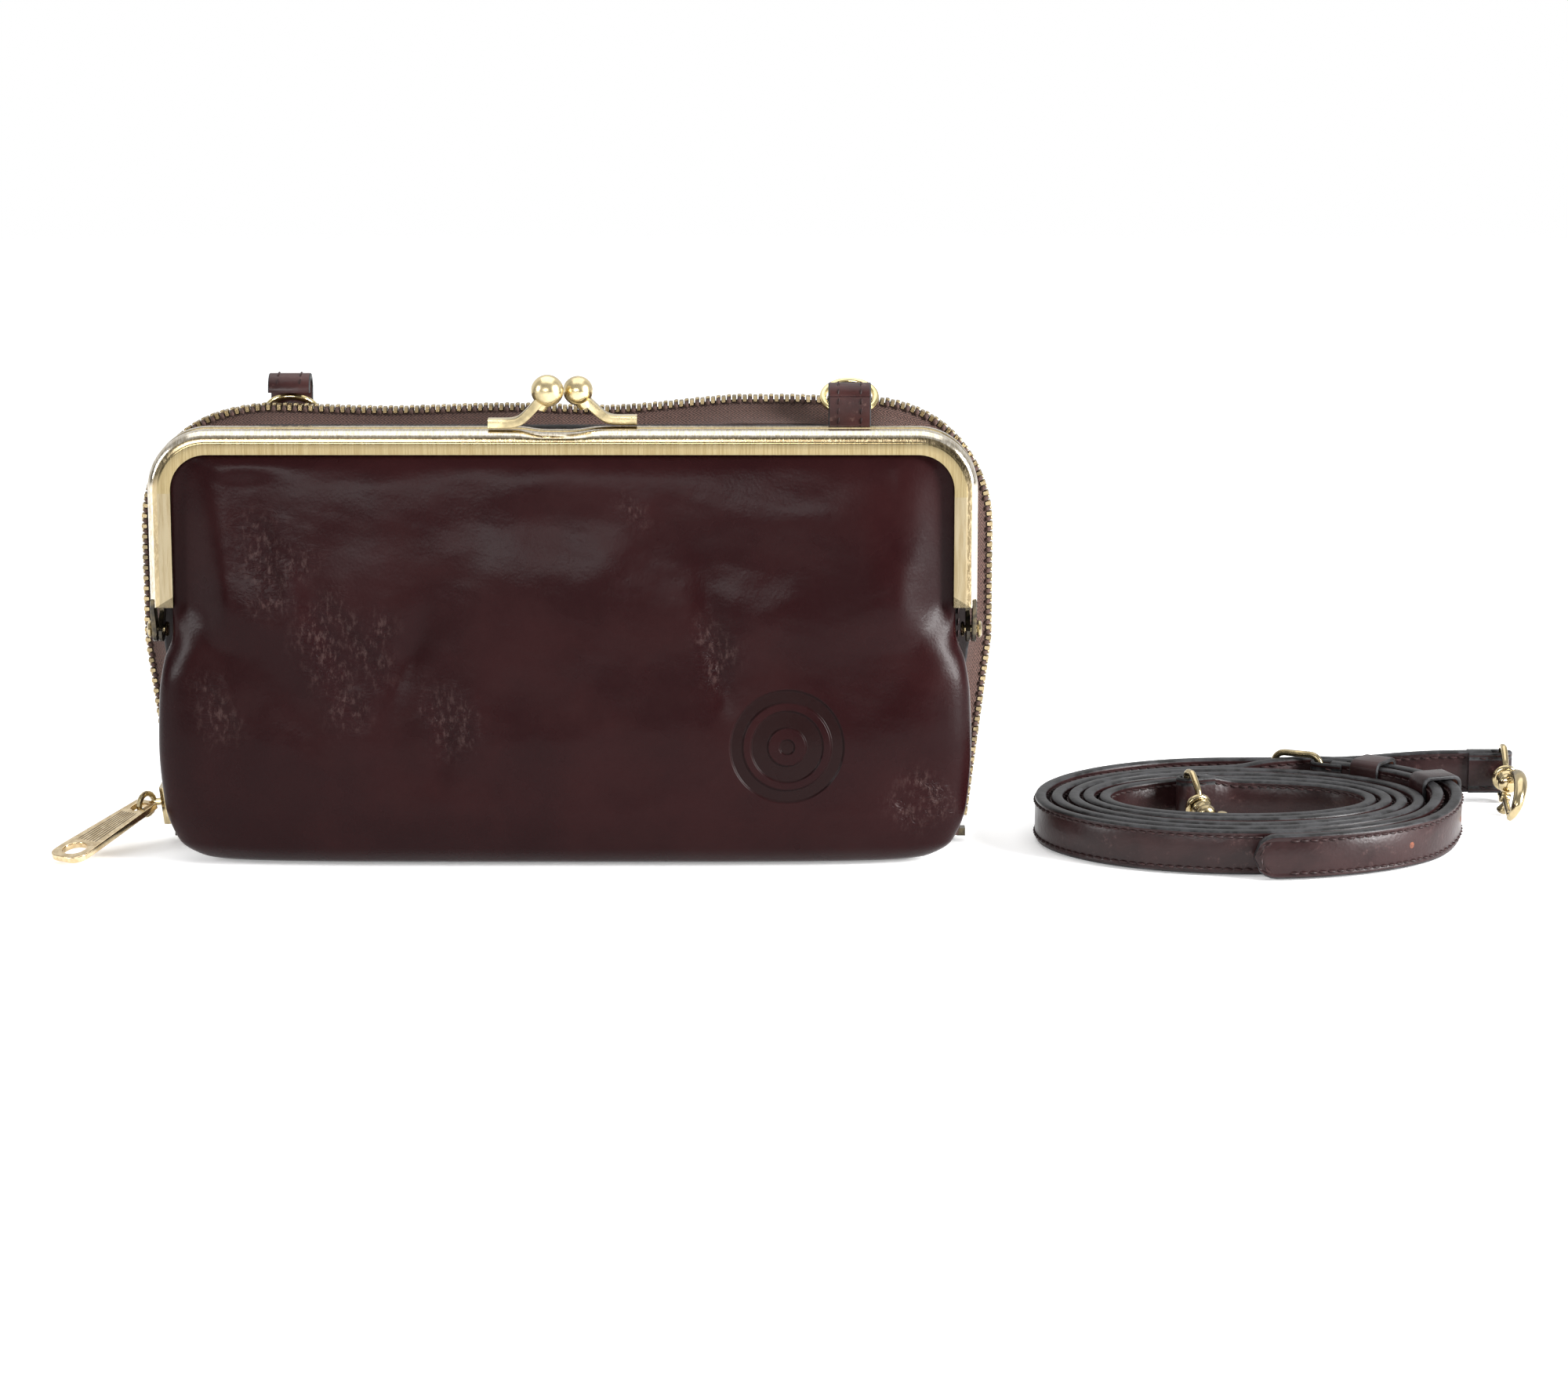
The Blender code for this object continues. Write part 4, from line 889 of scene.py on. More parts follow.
def kiss_lock(name, side, ball_at, radius, middle_y, body):
    """A bent arm on the frame's top and the ball at its end."""
    foot_z = FRAME_TOP + 1.5
    bend = [(side * 17.2, foot_z), (side * 10.6, foot_z), (side * 8.1, foot_z + 1.9),
            (ball_at[0] + side * 1.0, ball_at[2] - 1.4)]
    path = rounded_path([(x, middle_y, z) for x, z in bend], 2.4, 6)
    shape = sweep(path, rounded(1.05, 1.8, 0.3, 3), (0, 1, 0))
    angles = np.linspace(-math.pi / 2, math.pi / 2, 21)
    dome = [(max(0.05, radius * math.cos(a)), radius * (1 + 0.985 * math.sin(a))) for a in angles]
    lean = Vector((-side * 0.12, -0.15, 1)).normalized()
    start = np.array(ball_at) - np.array(lean) * radius
    shape.join(lathe(dome, start, lean, 36))
    throat = [(1.5, -0.6), (1.75, 0.1), (1.9, 0.9), (2.1, 1.5)]
    down = Vector((side * 0.45, 0, -1)).normalized()
    shape.join(lathe(throat, np.array(ball_at) + np.array(down) * (radius + 0.3), -down, 24))
    piece(name + "_shape", shape, KISS, body, name, 45)


KISS = antique_brass("kiss_brass", (0.80, 0.66, 0.38), 0.20, 0.34)
kiss_lock("kiss_lock_front", -1, (-3.4, -9.4, 111.7), 3.8, FRONT_MID + 0.4, "front_frame")
kiss_lock("kiss_lock_rear", 1, (3.5, -5.0, 111.1), 3.5, REAR_MID - 0.4, "purse_body")

for name, middle_y, body in (("frame_cord_front", -8.8, "front_frame"),
                             ("frame_cord_rear", -2.8, "purse_body")):
    path, normal = frame_path()
    keep = path[:, 2] > 68
    line = (path - normal * 3.4)[keep]
    line[:, 1] = middle_y
    piece(name + "_paper", tube(line, 0.34, 8), PAPER, body, name)


# ------------------------------------------------------------------ wallet

def dip(rows):
    """The zip sags a little along its top, more towards the left."""
    x, z = rows[..., 0], rows[..., 2]
    sag = 2.3 * (1 - smooth(2, 50, x)) * smooth(-97, -74, x) + 0.35 * np.sin(x / 9.0)
    sag = sag * smooth(88, 103, z)
    rows[..., 2] = z - np.maximum(sag, -0.1)
    return rows


TOOTH_PITCH, ROW_SHIFT = 2.5, 1.25


def zip_half(near, body, label):
    """Half of the zip: woven tape, its edge cord and the teeth clamped on it."""
    left_foot = ZIP_FOOT_Z if near < 0 else 16.0
    path, normal = zip_arch(1.0, left_foot)
    edge = ZIP_Y + near * 7.7
    section = [(-4.9, edge), (-4.25, edge - near * 1.5), (-3.2, edge - near * 3.1),
               (-2.0, edge - near * 4.6), (-0.95, edge - near * 5.7), (-0.55, ZIP_Y + near * 1.4),
               (-1.25, ZIP_Y + near * 1.35), (-1.7, edge - near * 5.3), (-2.7, edge - near * 4.2),
               (-3.9, edge - near * 2.7), (-4.9, edge - near * 1.2), (-5.5, edge)]
    if near > 0:
        section = section[::-1]
    rows, uvs = arch_rows(path, normal, section)
    if near < 0:               # the front tape runs on below the teeth, as far as the stops
        spare = ZIP_FOOT_Z - 1.1
        rows = np.vstack([rows[:1] + (rows[0] - rows[1]) * spare, rows,
                          rows[-1:] + (rows[-1] - rows[-2]) * spare])
        uvs = np.vstack([uvs[:1] - (spare, 0), uvs, uvs[-1:] + (spare, 0)])
    tape = loft(dip(rows), True, True, 0, None, uvs)
    piece(f"tape_{label}", tape, TAPE, body, f"zip_tape_{label}", 50)
    line, out = zip_arch(0.25, left_foot)
    along = lengths(line)
    total = lengths(zip_arch(0.25)[0])[-1]
    teeth, cord = Shape(), Shape()
    for k in range(int((total - 1.0) / TOOTH_PITCH)):
        spot = 0.5 + k * TOOTH_PITCH + (ROW_SHIFT if near > 0 else 0.0)
        spot -= total - along[-1]
        if spot < 0.6 or spot > along[-1] - 0.7:
            continue
        at = interpolate(line, along, spot)
        nrm = interpolate(out, along, spot)
        nrm /= np.linalg.norm(nrm)
        fwd = np.cross(nrm, (0, 1, 0))
        tooth = rounded(0.50, 0.74, 0.22, 2)
        inner_y, outer_y = ZIP_Y - near * 0.55, ZIP_Y + near * 2.2
        steps = ((inner_y, 0.7), (inner_y + near * 0.25, 1.0), (ZIP_Y + near * 0.9, 1.0),
                 (ZIP_Y + near * 1.25, 0.86), (outer_y, 0.86))
        ring = [[at + fwd * u * s + nrm * (v * s + 0.05) + np.array((0, y, 0))
                 for u, v in (tooth if near > 0 else tooth[::-1])] for y, s in steps]
        teeth.join(loft(ring, True, True))
        low = at + fwd * (TOOTH_PITCH / 2) - nrm * 0.15
        cord.join(tube([low + np.array((0, ZIP_Y + near * reach, 0)) + nrm * rise
                        for reach, rise in ((0.5, 0.0), (1.2, 0.1), (2.3, -0.35))], 0.55, 8))
    for shape in (teeth, cord):
        shape.verts = [dip(v) for v in shape.verts]
    piece(f"teeth_{label}", teeth, TEETH_BRASS, body, f"zip_teeth_{label}", 50)
    piece(f"tape_cord_{label}", cord, TAPE, body, (), 60)


zip_half(-1, "purse_body", "front")
zip_half(1, "wallet_back", "back")


def panel_outline(inset, foot):
    """The wallet's outline in XZ, inside the zip's line by inset and level at foot."""
    corner = (ZIP_HALF - ZIP_CORNER, ZIP_TOP - ZIP_CORNER)
    right = [(zip_side(z, inset), z) for z in (foot + 1.2, 14, 30, ZIP_KNEE_Z, corner[1])]
    right += arc(corner, ZIP_CORNER - inset, 0, 90, 22)[1:]
    right = [(right[0][0] - 1.4, foot)] + right
    return [(-x, z) for x, z in right] + right[::-1]


def panel(low_y, high_y, facing, body, name):
    """A flat panel with eased edges; facing is the side (-1 or 1) that is stitched."""
    inset, foot = 5.0, 0.4
    levels = [(low_y, 0.55), (low_y + 0.12, 0.2), (low_y + 0.4, 0.0), (high_y - 0.4, 0.0),
              (high_y - 0.12, 0.2), (high_y, 0.55)]
    rows = [[(x, y, z) for x, z in panel_outline(inset + more, foot + more * 0.6)]
            for y, more in levels]
    shape = loft(rows, True, True, 1)
    shape.slots[-1] = shape.slots[-2] = 0
    face_y = high_y if facing > 0 else low_y
    line = resample([(x, face_y, z) for x, z in panel_outline(inset + 2.6, foot + 2.6)], 1.0)
    stitches(shape, line, (0, facing, 0), 2.8, 2.0, 0.22, slot=2)
    piece(name + "_board", shape, [PANEL, EDGE, THREAD], body, name, 35)


panel(1.0, 3.0, -1, "purse_body", "wallet_front_panel")
panel(19.0, 21.0, 1, "wallet_back", "wallet_back_panel")


FIRST_CARD, CARD_STEP = 9, 12  # from a pocket's top down to its first slot, and to each next one


def inner_sheet(name, low_y, high_y, inset, foot, top, looks, body, node, slots=0):
    """A lining or card pocket, cut level at top, with stitched card slots if asked."""
    outline = [(x, min(z, top)) for x, z in panel_outline(inset, foot)]
    kept = [p for k, p in enumerate(outline) if k == 0 or p != outline[k - 1]]
    rows = [[(x * s, y, foot + (z - foot) * s) for x, z in kept]
            for y, s in ((low_y, 0.997), (low_y + 0.15, 1), (high_y - 0.15, 1), (high_y, 0.997))]
    shape = loft(rows, True, True, 0)
    inward = 1 if low_y < ZIP_Y else -1
    face = high_y if inward > 0 else low_y
    for k in range(slots):
        z = top - FIRST_CARD - CARD_STEP * k
        for x0, x1 in ((-84, -3), (3, 84)):
            bar = [(x, face + inward * 0.25, z) for x in np.linspace(x0, x1, 12)]
            shape.join(sweep(bar, rounded(0.25, 0.9, 0.2, 2), (0, 0, 1)))
            line = [(x, face + inward * 0.5, z - 0.4) for x in np.linspace(x0, x1, 12)]
            stitches(shape, line, (0, inward, 0), 2.8, 2.0, 0.18, slot=1)
    if slots:
        line = [(0, face, z) for z in np.linspace(foot + 2, top - 2, 20)]
        stitches(shape, line, (0, inward, 0), 2.8, 2.0, 0.18, slot=1)
    piece(name + "_sheet", shape, looks, body, node, 35)


inner_sheet("front_lining", 3.3, 3.9, 8.0, 2.2, 98.0, [CLOTH], "purse_body",
            "wallet_front_lining")
inner_sheet("back_lining", 18.1, 18.7, 8.0, 2.2, 98.0, [CLOTH], "wallet_back",
            "wallet_back_lining")
inner_sheet("front_pocket", 4.2, 5.7, 12.0, 3.0, 66.0, [TAB_LEATHER, THREAD], "purse_body",
            "card_pocket_front", 4)
inner_sheet("back_pocket", 16.3, 17.8, 12.0, 3.6, 66.0, [TAB_LEATHER, THREAD], "wallet_back",
            "card_pocket_back", 4)


def dress(node, look, width=0.0):
    """Show a CAD node with a finish, its edges eased by width."""
    made = NODES[node]
    made.data.materials.clear()
    made.data.materials.append(look)
    if width:
        edge = made.modifiers.new("edges", "BEVEL")
        edge.width = width * MM
        edge.segments = 3
        edge.limit_method = "ANGLE"
        edge.angle_limit = math.radians(40)


dress("wallet_spine", PANEL, 0.3)
dress("zip_stop_left", DARK, 0.35)
dress("zip_stop_right", DARK, 0.35)
dress("zip_slider", BRASS, 0.25)


# ------------------------------------------------------------------ rings and tabs

TOP_OF_TAB, RING_RADIUS = 111.2, 6.2


def tab(name, x, layer_y, fold_y, bulge, body):
    """A leather strip sewn flat at layer_y and folded over a ring."""
    side = 1 if layer_y > fold_y else -1
    outer = layer_y + side * bulge
    centre, radius = (outer + fold_y) / 2, abs(fold_y - outer) / 2
    over = arc((centre, TOP_OF_TAB - radius), radius, 0, 180, 16)
    if side < 0:
        over.reverse()
    profile = [(layer_y, 88.0), (layer_y, 94.0), (layer_y, 99.0)] + over
    path = spline([(x, y, z) for y, z in profile], 3)
    section = rounded(0.62, 5.0, 0.3, 3)
    marks = [0 if j in (7, 15) else 1 for j in range(len(section))]
    shape = sweep(path, section, (1, 0, 0), marks)
    _, across, _ = frames_along(path, (1, 0, 0))
    face = across if across[0][1] * side > 0 else -across
    keep = slice(int(len(path) * 0.05), int(len(path) * 0.97))
    for offset in (-2.65, 2.65):
        line = (path + face * 0.6)[keep] + np.array((offset, 0, 0))
        stitches(shape, line, face[keep], 2.3, 1.7, 0.2, slot=2)
    piece(name + "_leather", shape, [TAB_LEATHER, EDGE, THREAD], body, name, 50)


def ring(name, x, axis_y, lean, body):
    """A round ring hanging in its tab, leaning by an angle from upright."""
    a = math.radians(lean)
    along = np.array((0, math.sin(a), math.cos(a)))
    centre = np.array((x, axis_y, 105.4)) + along * (RING_RADIUS - RING_DROP / 2)
    turns = np.linspace(0, 2 * math.pi, 72, endpoint=False)
    path = [centre + RING_RADIUS * (math.cos(t) * np.array((1, 0, 0)) + math.sin(t) * along)
            for t in turns]
    piece(name + "_wire", tube(path, 0.8, 16, closed=True), RING_BRASS, body, name)


RING_DROP = RING_RADIUS - math.sqrt(RING_RADIUS ** 2 - 5.0 ** 2)
FRONT_LAYER, REAR_LAYER, TAB_SPAN, LEFT_BULGE = 0.1, 21.9, 6.2, 1.0
RIGHT_X, LEFT_X = 66.9, -66.0
tab("ring_tab_right", RIGHT_X, FRONT_LAYER, FRONT_LAYER + TAB_SPAN, 0.0, "purse_body")
tab("ring_tab_left", LEFT_X, REAR_LAYER, REAR_LAYER - TAB_SPAN, LEFT_BULGE, "wallet_back")
ring("ring_right", RIGHT_X, FRONT_LAYER + TAB_SPAN / 2, 61.0, "right_ring")
ring("ring_left", LEFT_X, REAR_LAYER + LEFT_BULGE / 2 - TAB_SPAN / 2, 138.0, "left_ring")


# ------------------------------------------------------------------ zip puller

def flat_plate(outlines, thickness, ease=0.2):
    """A flat outline in XY with holes and eased edges, centred on Z, as a Shape."""
    drawn = bpy.data.curves.new("plate", "CURVE")
    drawn.dimensions = "2D"
    drawn.fill_mode = "BOTH"
    drawn.extrude = thickness / 2 - ease
    drawn.bevel_depth = ease
    drawn.bevel_resolution = 2
    drawn.offset = -ease
    for outline in outlines:
        line = drawn.splines.new("POLY")
        line.points.add(len(outline) - 1)
        for spot, point in zip(line.points, outline):
            spot.co = (point[0], point[1], 0, 1)
        line.use_cyclic_u = True
    holder = bpy.data.objects.new("plate", drawn)
    bpy.context.scene.collection.objects.link(holder)
    graph = bpy.context.evaluated_depsgraph_get()
    mesh = bpy.data.meshes.new_from_object(holder.evaluated_get(graph))
    shape = Shape().add([v.co[:] for v in mesh.vertices], [list(f.vertices) for f in mesh.polygons])
    bpy.data.objects.remove(holder)
    bpy.data.meshes.remove(mesh)
    return shape


PULL_WAY = Vector((-0.56, -0.79, -0.255)).normalized()
PULL_AXIS = Vector((-PULL_WAY.y, PULL_WAY.x, 0)).normalized()
PULL_AT = Vector((-101.764, 9.368, 8.771))


def puller():
    """A long tapering plate with a slot, a finger hole and lengthwise grooves on both faces."""
    reach, root, tip = 30.5, 3.3, 5.0
    body = [(-0.75, -root + 0.8), (-0.1, -root), (reach - 6, -tip)]
    body += arc((reach - 3.2, -tip + 3.0), 3.0, -90, -8, 8)
    body += arc((reach - 3.2, tip - 3.0), 3.0, 8, 90, 8)
    body += [(reach - 6, tip), (-0.1, root), (-0.75, root - 0.8)]
    slot = [(0.75, -1.7), (3.2, -1.7)] + arc((3.2, 0), 1.7, -60, 60, 8)
    slot += [(3.2, 1.7), (0.75, 1.7)]
    grip = arc((reach - 4.6, 0), 3.1, 100, 260, 12)
    grip += arc((reach - 5.2, 0), 3.2, -64, 64, 8)
    shape = flat_plate([body, slot, grip], 1.5, 0.22)
    for k in range(-3, 4):
        start, end = 6.2, reach - 9.2
        y0, y1 = k * 0.72, k * 0.92
        for face in (-1, 1):
            shape.join(tube([(start + (end - start) * t, y0 + (y1 - y0) * t, face * 0.70)
                             for t in np.linspace(0, 1, 8)], 0.12, 8, slot=1))
    up = PULL_WAY.cross(PULL_AXIS)
    rows = [[PULL_WAY[c], PULL_AXIS[c], up[c], PULL_AT[c]] for c in range(3)]
    shape.move(Matrix(rows + [[0, 0, 0, 1]]))
    piece("puller_plate", shape, [PULL_BRASS, DARK], "puller", "zip_puller", 40)


# ------------------------------------------------------------------ strap

STRAP_W, STRAP_T, LIFT, PITCH = 10.6, 2.7, 1.9, 3.8
STRAP_MID_Z = LIFT + STRAP_W / 2
SEAM_INSET, SEAM_GROOVE, TAIL_TIP = 1.45, 0.16, 5.2
COIL_X, COIL_Y, COIL_A, COIL_B = 161.5, 10.0, 30.15, 17.5
STRAIGHT_Y, BAR_GAP = 52.0, 2.7
OUTER_BAR, INNER_BAR = np.array((230.5, STRAIGHT_Y, 0.0)), np.array((149.5, 23.5, 0.0))
LEAD_WAY = np.array((0.946, 0.323, 0.0)) / math.hypot(0.946, 0.323)


def coil_point(turn, offset=None):
    """A point of the oval coil: turns from the start, and how many pitches it is out."""
    out = PITCH * (turn if offset is None else offset)
    a = 2 * math.pi * turn
    return np.array((COIL_X + (COIL_A + out) * math.sin(a), COIL_Y + (COIL_B + out) * math.cos(a),
                     0.0))


def tail_point(turn):
    """The long strap's end, which passes through the buckle and the keepers."""
    offset = turn + 1.70 * smooth(4.026, 4.078, turn) - 0.55 * smooth(4.16, 4.34, turn)
    point = coil_point(turn, offset)
    point[2] = LIFT * smooth(4.0, 4.04, turn) * (1 - smooth(4.24, 4.34, turn))
    return point


def short_point(turn):
    """The short strap, from the buckle round the coil to the straight run."""
    offset = turn + 0.51 * (1 - smooth(4.16, 4.34, turn))
    offset += smooth(4.74, 5.0, turn) * ((STRAIGHT_Y - COIL_Y - 17.5) / PITCH - 5.0)
    point = coil_point(turn, offset)
    point[2] = LIFT * (1 - smooth(4.24, 4.34, turn))
    return point


def bezier(p0, p1, p2, p3, steps):
    t = np.linspace(0, 1, steps + 1)[:, None]
    return (p0 * (1 - t) ** 3 + p1 * 3 * t * (1 - t) ** 2 + p2 * 3 * t * t * (1 - t)
            + p3 * t ** 3)


def smoothed(path):
    """A path with its small kinks averaged out; its ends stay."""
    path = np.array(path, float)
    for _ in range(6):
        path[1:-1] = path[1:-1] * 0.5 + (path[:-2] + path[2:]) * 0.25
    return path


def long_route():
    """From the inner hook, through four turns of the coil, to the rounded end."""
    start = INNER_BAR + LEAD_WAY * BAR_GAP + (0, 0, LIFT)
    end = coil_point(0.0)
    lead = bezier(start, start + LEAD_WAY * 5, end - (2, 0, 0), end, 10)[:-1]
    turns = np.linspace(0, 4.0, 400, endpoint=False)
    coil = [coil_point(t) for t in turns]
    tail = [tail_point(t) for t in np.linspace(4.0, 4.502, 110)]
    route = np.vstack([lead, coil, tail])
    loose = np.concatenate([np.zeros(len(lead)), smooth(0.1, 0.6, turns) * smooth(3.95, 3.6, turns),
                            np.zeros(len(tail))])
    s = lengths(route)
    out = route - (COIL_X, COIL_Y, 0)
    out[:, 2] = 0
    out /= np.linalg.norm(out, axis=1)[:, None]
    sway = 0.22 * np.sin(s / 23.0) + 0.10 * np.sin(s / 11.0 + 1.0)
    route = route + out * (sway * loose)[:, None]
    route[:, 2] += loose * (0.2 + 0.2 * np.sin(s / 41.0 + 0.6))
    return resample(smoothed(route), 1.3)


def short_route():
    """From the buckle round the back of the coil and straight to the outer hook."""
    route = [short_point(t) for t in np.linspace(4.089, 5.0, 130)]
    reach = OUTER_BAR[0] - BAR_GAP - COIL_X
    for k in range(1, 17):
        x = COIL_X + reach * k / 16
        route.append(np.array((x, STRAIGHT_Y, LIFT * smooth(COIL_X + 30, COIL_X + 50, x))))
    return resample(smoothed(route), 1.3)


def strap_section(thick, width):
    """Outline of a strap on edge, with a sewing groove near each edge of both faces."""
    t, w, g = thick / 2, width / 2, min(SEAM_GROOVE, thick * 0.12)
    inset = SEAM_INSET
    face = [(t - 0.03, -w + 0.55), (t, -w + inset - 0.42), (t - g, -w + inset - 0.1),
            (t - g, -w + inset + 0.1), (t, -w + inset + 0.42), (t, 0), (t, w - inset - 0.42),
            (t - g, w - inset - 0.1), (t - g, w - inset + 0.1), (t, w - inset + 0.42),
            (t - 0.03, w - 0.55)]
    edge = [(t * 0.82, w - 0.16), (t * 0.4, w - 0.01), (0, w)]
    half = face + edge
    return half + [(-u, v) for u, v in edge[-2::-1]] + [(-u, v) for u, v in face[::-1]] + [
        (-u, -v) for u, v in edge[:-1]] + [(0, -w)] + [(u, -v) for u, v in edge[-2::-1]]


def strap_band(path, thick, width, tip=0.0):
    """A strap on edge: slots 0 faces, 1 painted edges.  tip rounds the far end."""
    half = np.full(len(path), width / 2)
    if tip:
        left = lengths(path)[-1] - lengths(path)
        inside = np.clip(1 - left / tip, 0, 1)
        half = width / 2 - tip + np.sqrt(np.maximum(0.0, tip ** 2 - (tip * inside) ** 2))
        half = np.maximum(half, 0.35)
    base = strap_section(thick, width)
    _, across, _ = frames_along(path, (0, 0, 1))
    middle = path + (0, 0, width / 2)
    rows = []
    for p, a, h in zip(middle, across, half):
        squeeze = h / (width / 2)
        thin = 0.55 + 0.45 * min(1.0, squeeze * 1.6)
        rows.append([p + a * u * thin + np.array((0, 0, v * squeeze)) for u, v in base])
    marks = []
    for (u, v), (u2, v2) in zip(base, base[1:] + base[:1]):
        flat = min(abs(u), abs(u2)) > thick / 2 * 0.85 and u * u2 > 0
        marks.append(0 if flat and max(abs(v), abs(v2)) < width / 2 - 0.3 else 1)
    return loft(rows, True, True, 1, marks, grid_uvs(path, base))


def sewn(shape, path, tip=0.0):
    """Sew a strap near both edges of both faces, and round its tip if it has one."""
    reach = STRAP_W / 2 - SEAM_INSET
    along = lengths(path)
    keep = (along >= 2.0) & (along <= along[-1] - max(2.0, tip))
    _, across, _ = frames_along(path, (0, 0, 1))
    for side in (-1, 1):
        off = across * side
        for height in (-reach, reach):
            line = path + (0, 0, STRAP_W / 2 + height) + off * STRAP_T / 2
            stitches(shape, line[keep], off[keep], 2.3, 1.85, 0.27, 0.06, slot=2)
        if tip:
            turn = np.radians(np.linspace(-90, 90, 17))
            spots = along[-1] - tip + (tip - SEAM_INSET) * np.cos(turn)
            offs = interpolate(off, along, spots)
            line = interpolate(path, along, spots) + offs * STRAP_T / 2
            line[:, 2] += STRAP_W / 2 + reach * np.sin(turn)
            stitches(shape, line, offs, 2.3, 1.85, 0.27, 0.0, slot=2)


def hole(shape, path, side, back):
    """A small punched hole, filled with raw leather, at a distance back from the end."""
    along = lengths(path)
    spot = along[-1] - back
    _, across, _ = frames_along(path, (0, 0, 1))
    off = interpolate(across, along, spot) * side
    at = interpolate(path, along, spot) + (0, 0, STRAP_W / 2) + off * (STRAP_T / 2 - 0.25)
    shape.join(lathe([(0.05, 0.262), (0.45, 0.262), (0.75, 0.275), (0.8, 0.2), (0.78, 0.0)], at,
                     off, 20, slot=3))


LONG, SHORT = long_route(), short_route()
long_shape = strap_band(LONG, STRAP_T, STRAP_W, TAIL_TIP)
sewn(long_shape, LONG, TAIL_TIP)
for back in (40.0, 65.0, 90.0, 115.0):
    for side in (-1, 1):
        hole(long_shape, LONG, side, back)
strap_long = piece("strap_long", long_shape, [STRAP, EDGE, THREAD, RAW], "strap",
                   ["strap_long_coil", "strap_long_tail", "strap_long_lead"], 50)
short_shape = strap_band(SHORT, STRAP_T, STRAP_W)
sewn(short_shape, SHORT)
strap_short = piece("strap_short_band", short_shape, [STRAP, EDGE, THREAD, RAW], "strap",
                    ["strap_short"], 50)


CHAPE_T, CHAPE_W = 1.0, STRAP_W - 0.4


def chape(name, bar, way, length, node):
    """Thin leather turned round a bar, sewn through behind it."""
    side = np.array((-way[1], way[0], 0.0))
    radius = STRAP_T / 2 + 0.75
    turn = [bar + side * radius * math.sin(a) - way * radius * math.cos(a)
            for a in np.radians(np.linspace(90, -90, 15))]
    row = [bar + side * radius + way * length, bar + side * radius + way * length * 0.55]
    row += turn + [bar - side * radius + way * length * 0.55, bar - side * radius + way * length]
    path = np.array([(p[0], p[1], LIFT + 0.2) for p in row])
    path = resample(path, 0.8)
    shape = strap_band(path, CHAPE_T, CHAPE_W)
    along = lengths(path)
    _, across, _ = frames_along(path, (0, 0, 1))
    out = 1 if across[0] @ side > 0 else -1
    for start, end in ((0.5, length - 0.2), (along[-1] - length + 0.2, along[-1] - 0.5)):
        keep = (along > start) & (along < end)
        for height in (-3.7, 3.7):
            line = path[keep] + (0, 0, CHAPE_W / 2 + height)
            line = line + across[keep] * out * CHAPE_T / 2
            stitches(shape, line, across[keep] * out, 2.1, 1.5, 0.2, slot=2)
    return piece(name, shape, [STRAP, EDGE, THREAD], "strap", node, 50)


def keeper(name, turn, node):
    """A leather loop round the strap and its tail."""
    inner, outer = short_point(turn), tail_point(turn)
    forward = short_point(turn + 0.003) - short_point(turn - 0.003)
    forward[2] = 0
    forward /= np.linalg.norm(forward)
    side = np.array((-forward[1], forward[0], 0.0))
    middle = (inner + outer) / 2
    middle[2] = STRAP_MID_Z
    half = abs((outer - inner) @ side) / 2 + STRAP_T / 2 + 1.15
    centre = np.array(rounded(half, STRAP_W / 2 + 0.9, 1.7, 6))
    grad = np.roll(centre, -1, axis=0) - np.roll(centre, 1, axis=0)
    outward = np.stack([grad[:, 1], -grad[:, 0]], axis=1)
    outward /= np.linalg.norm(outward, axis=1)[:, None]
    section = rounded(0.5, 3.8, 0.28, 3)
    rows = []
    for (u, w), (nu, nw) in zip(centre, outward):
        rows.append([middle + side * (u + nu * a) + np.array((0, 0, w + nw * a)) + forward * b
                     for a, b in section])
    rows.append(rows[0])
    marks = [1] * len(section)
    marks[15] = 0
    marks[7] = 3
    shape = loft(rows, True, False, 1, marks)
    return piece(name, shape, [STRAP, EDGE, THREAD, RAW], "strap", node, 50)


BUCKLE_Z = np.array((0, 0, STRAP_MID_Z))
TIP = coil_point(4.0375, 5.1) + BUCKLE_Z
HEEL = coil_point(4.0785, 4.6) + BUCKLE_Z
BUCKLE_WAY = (HEEL - TIP) / np.linalg.norm(HEEL - TIP)
BUCKLE_OUT = np.array((-BUCKLE_WAY[1], BUCKLE_WAY[0], 0))


def buckle():
    """The buckle's oblong wire loop, and the tongue that turns on its heel."""
    half, high = np.linalg.norm(HEEL - TIP) / 2, STRAP_W / 2 + 1.1
    loop = rounded(half, high, 2.8, 8)
    middle = (TIP + HEEL) / 2
    path = np.array([middle + BUCKLE_WAY * u + np.array((0, 0, w)) for u, w in loop])
    shape = tube(path, 0.82, 14, closed=True)
    frame_piece = piece("buckle_loop", shape, BRASS, "strap", "buckle_frame")
    start = HEEL + BUCKLE_OUT * 1.8
    end = TIP - BUCKLE_WAY * 0.7 + BUCKLE_OUT * 1.42
    way = np.linspace(0, 1, 9)[:, None]
    pin = start * (1 - way) + end * way + BUCKLE_OUT * 0.1 * np.sin(math.pi * way)
    made = tube(pin, np.linspace(0.72, 0.5, 9), 12)
    up = np.array((0, 0, 0.75))
    collar = [(1.12, 0), (1.45, 0.05), (1.55, 0.25), (1.55, 1.25), (1.45, 1.45), (1.12, 1.5)]
    ring = lathe(collar + [(1.12, 0.0)], HEEL - up, (0, 0, 1), 24)
    ring.faces = ring.faces[:-2]
    ring.slots = ring.slots[:-2]
    made.join(ring)
    prong = piece("buckle_tongue", made, BRASS, "prong", "buckle_prong")
    return frame_piece, prong


# ------------------------------------------------------------------ swivel hooks

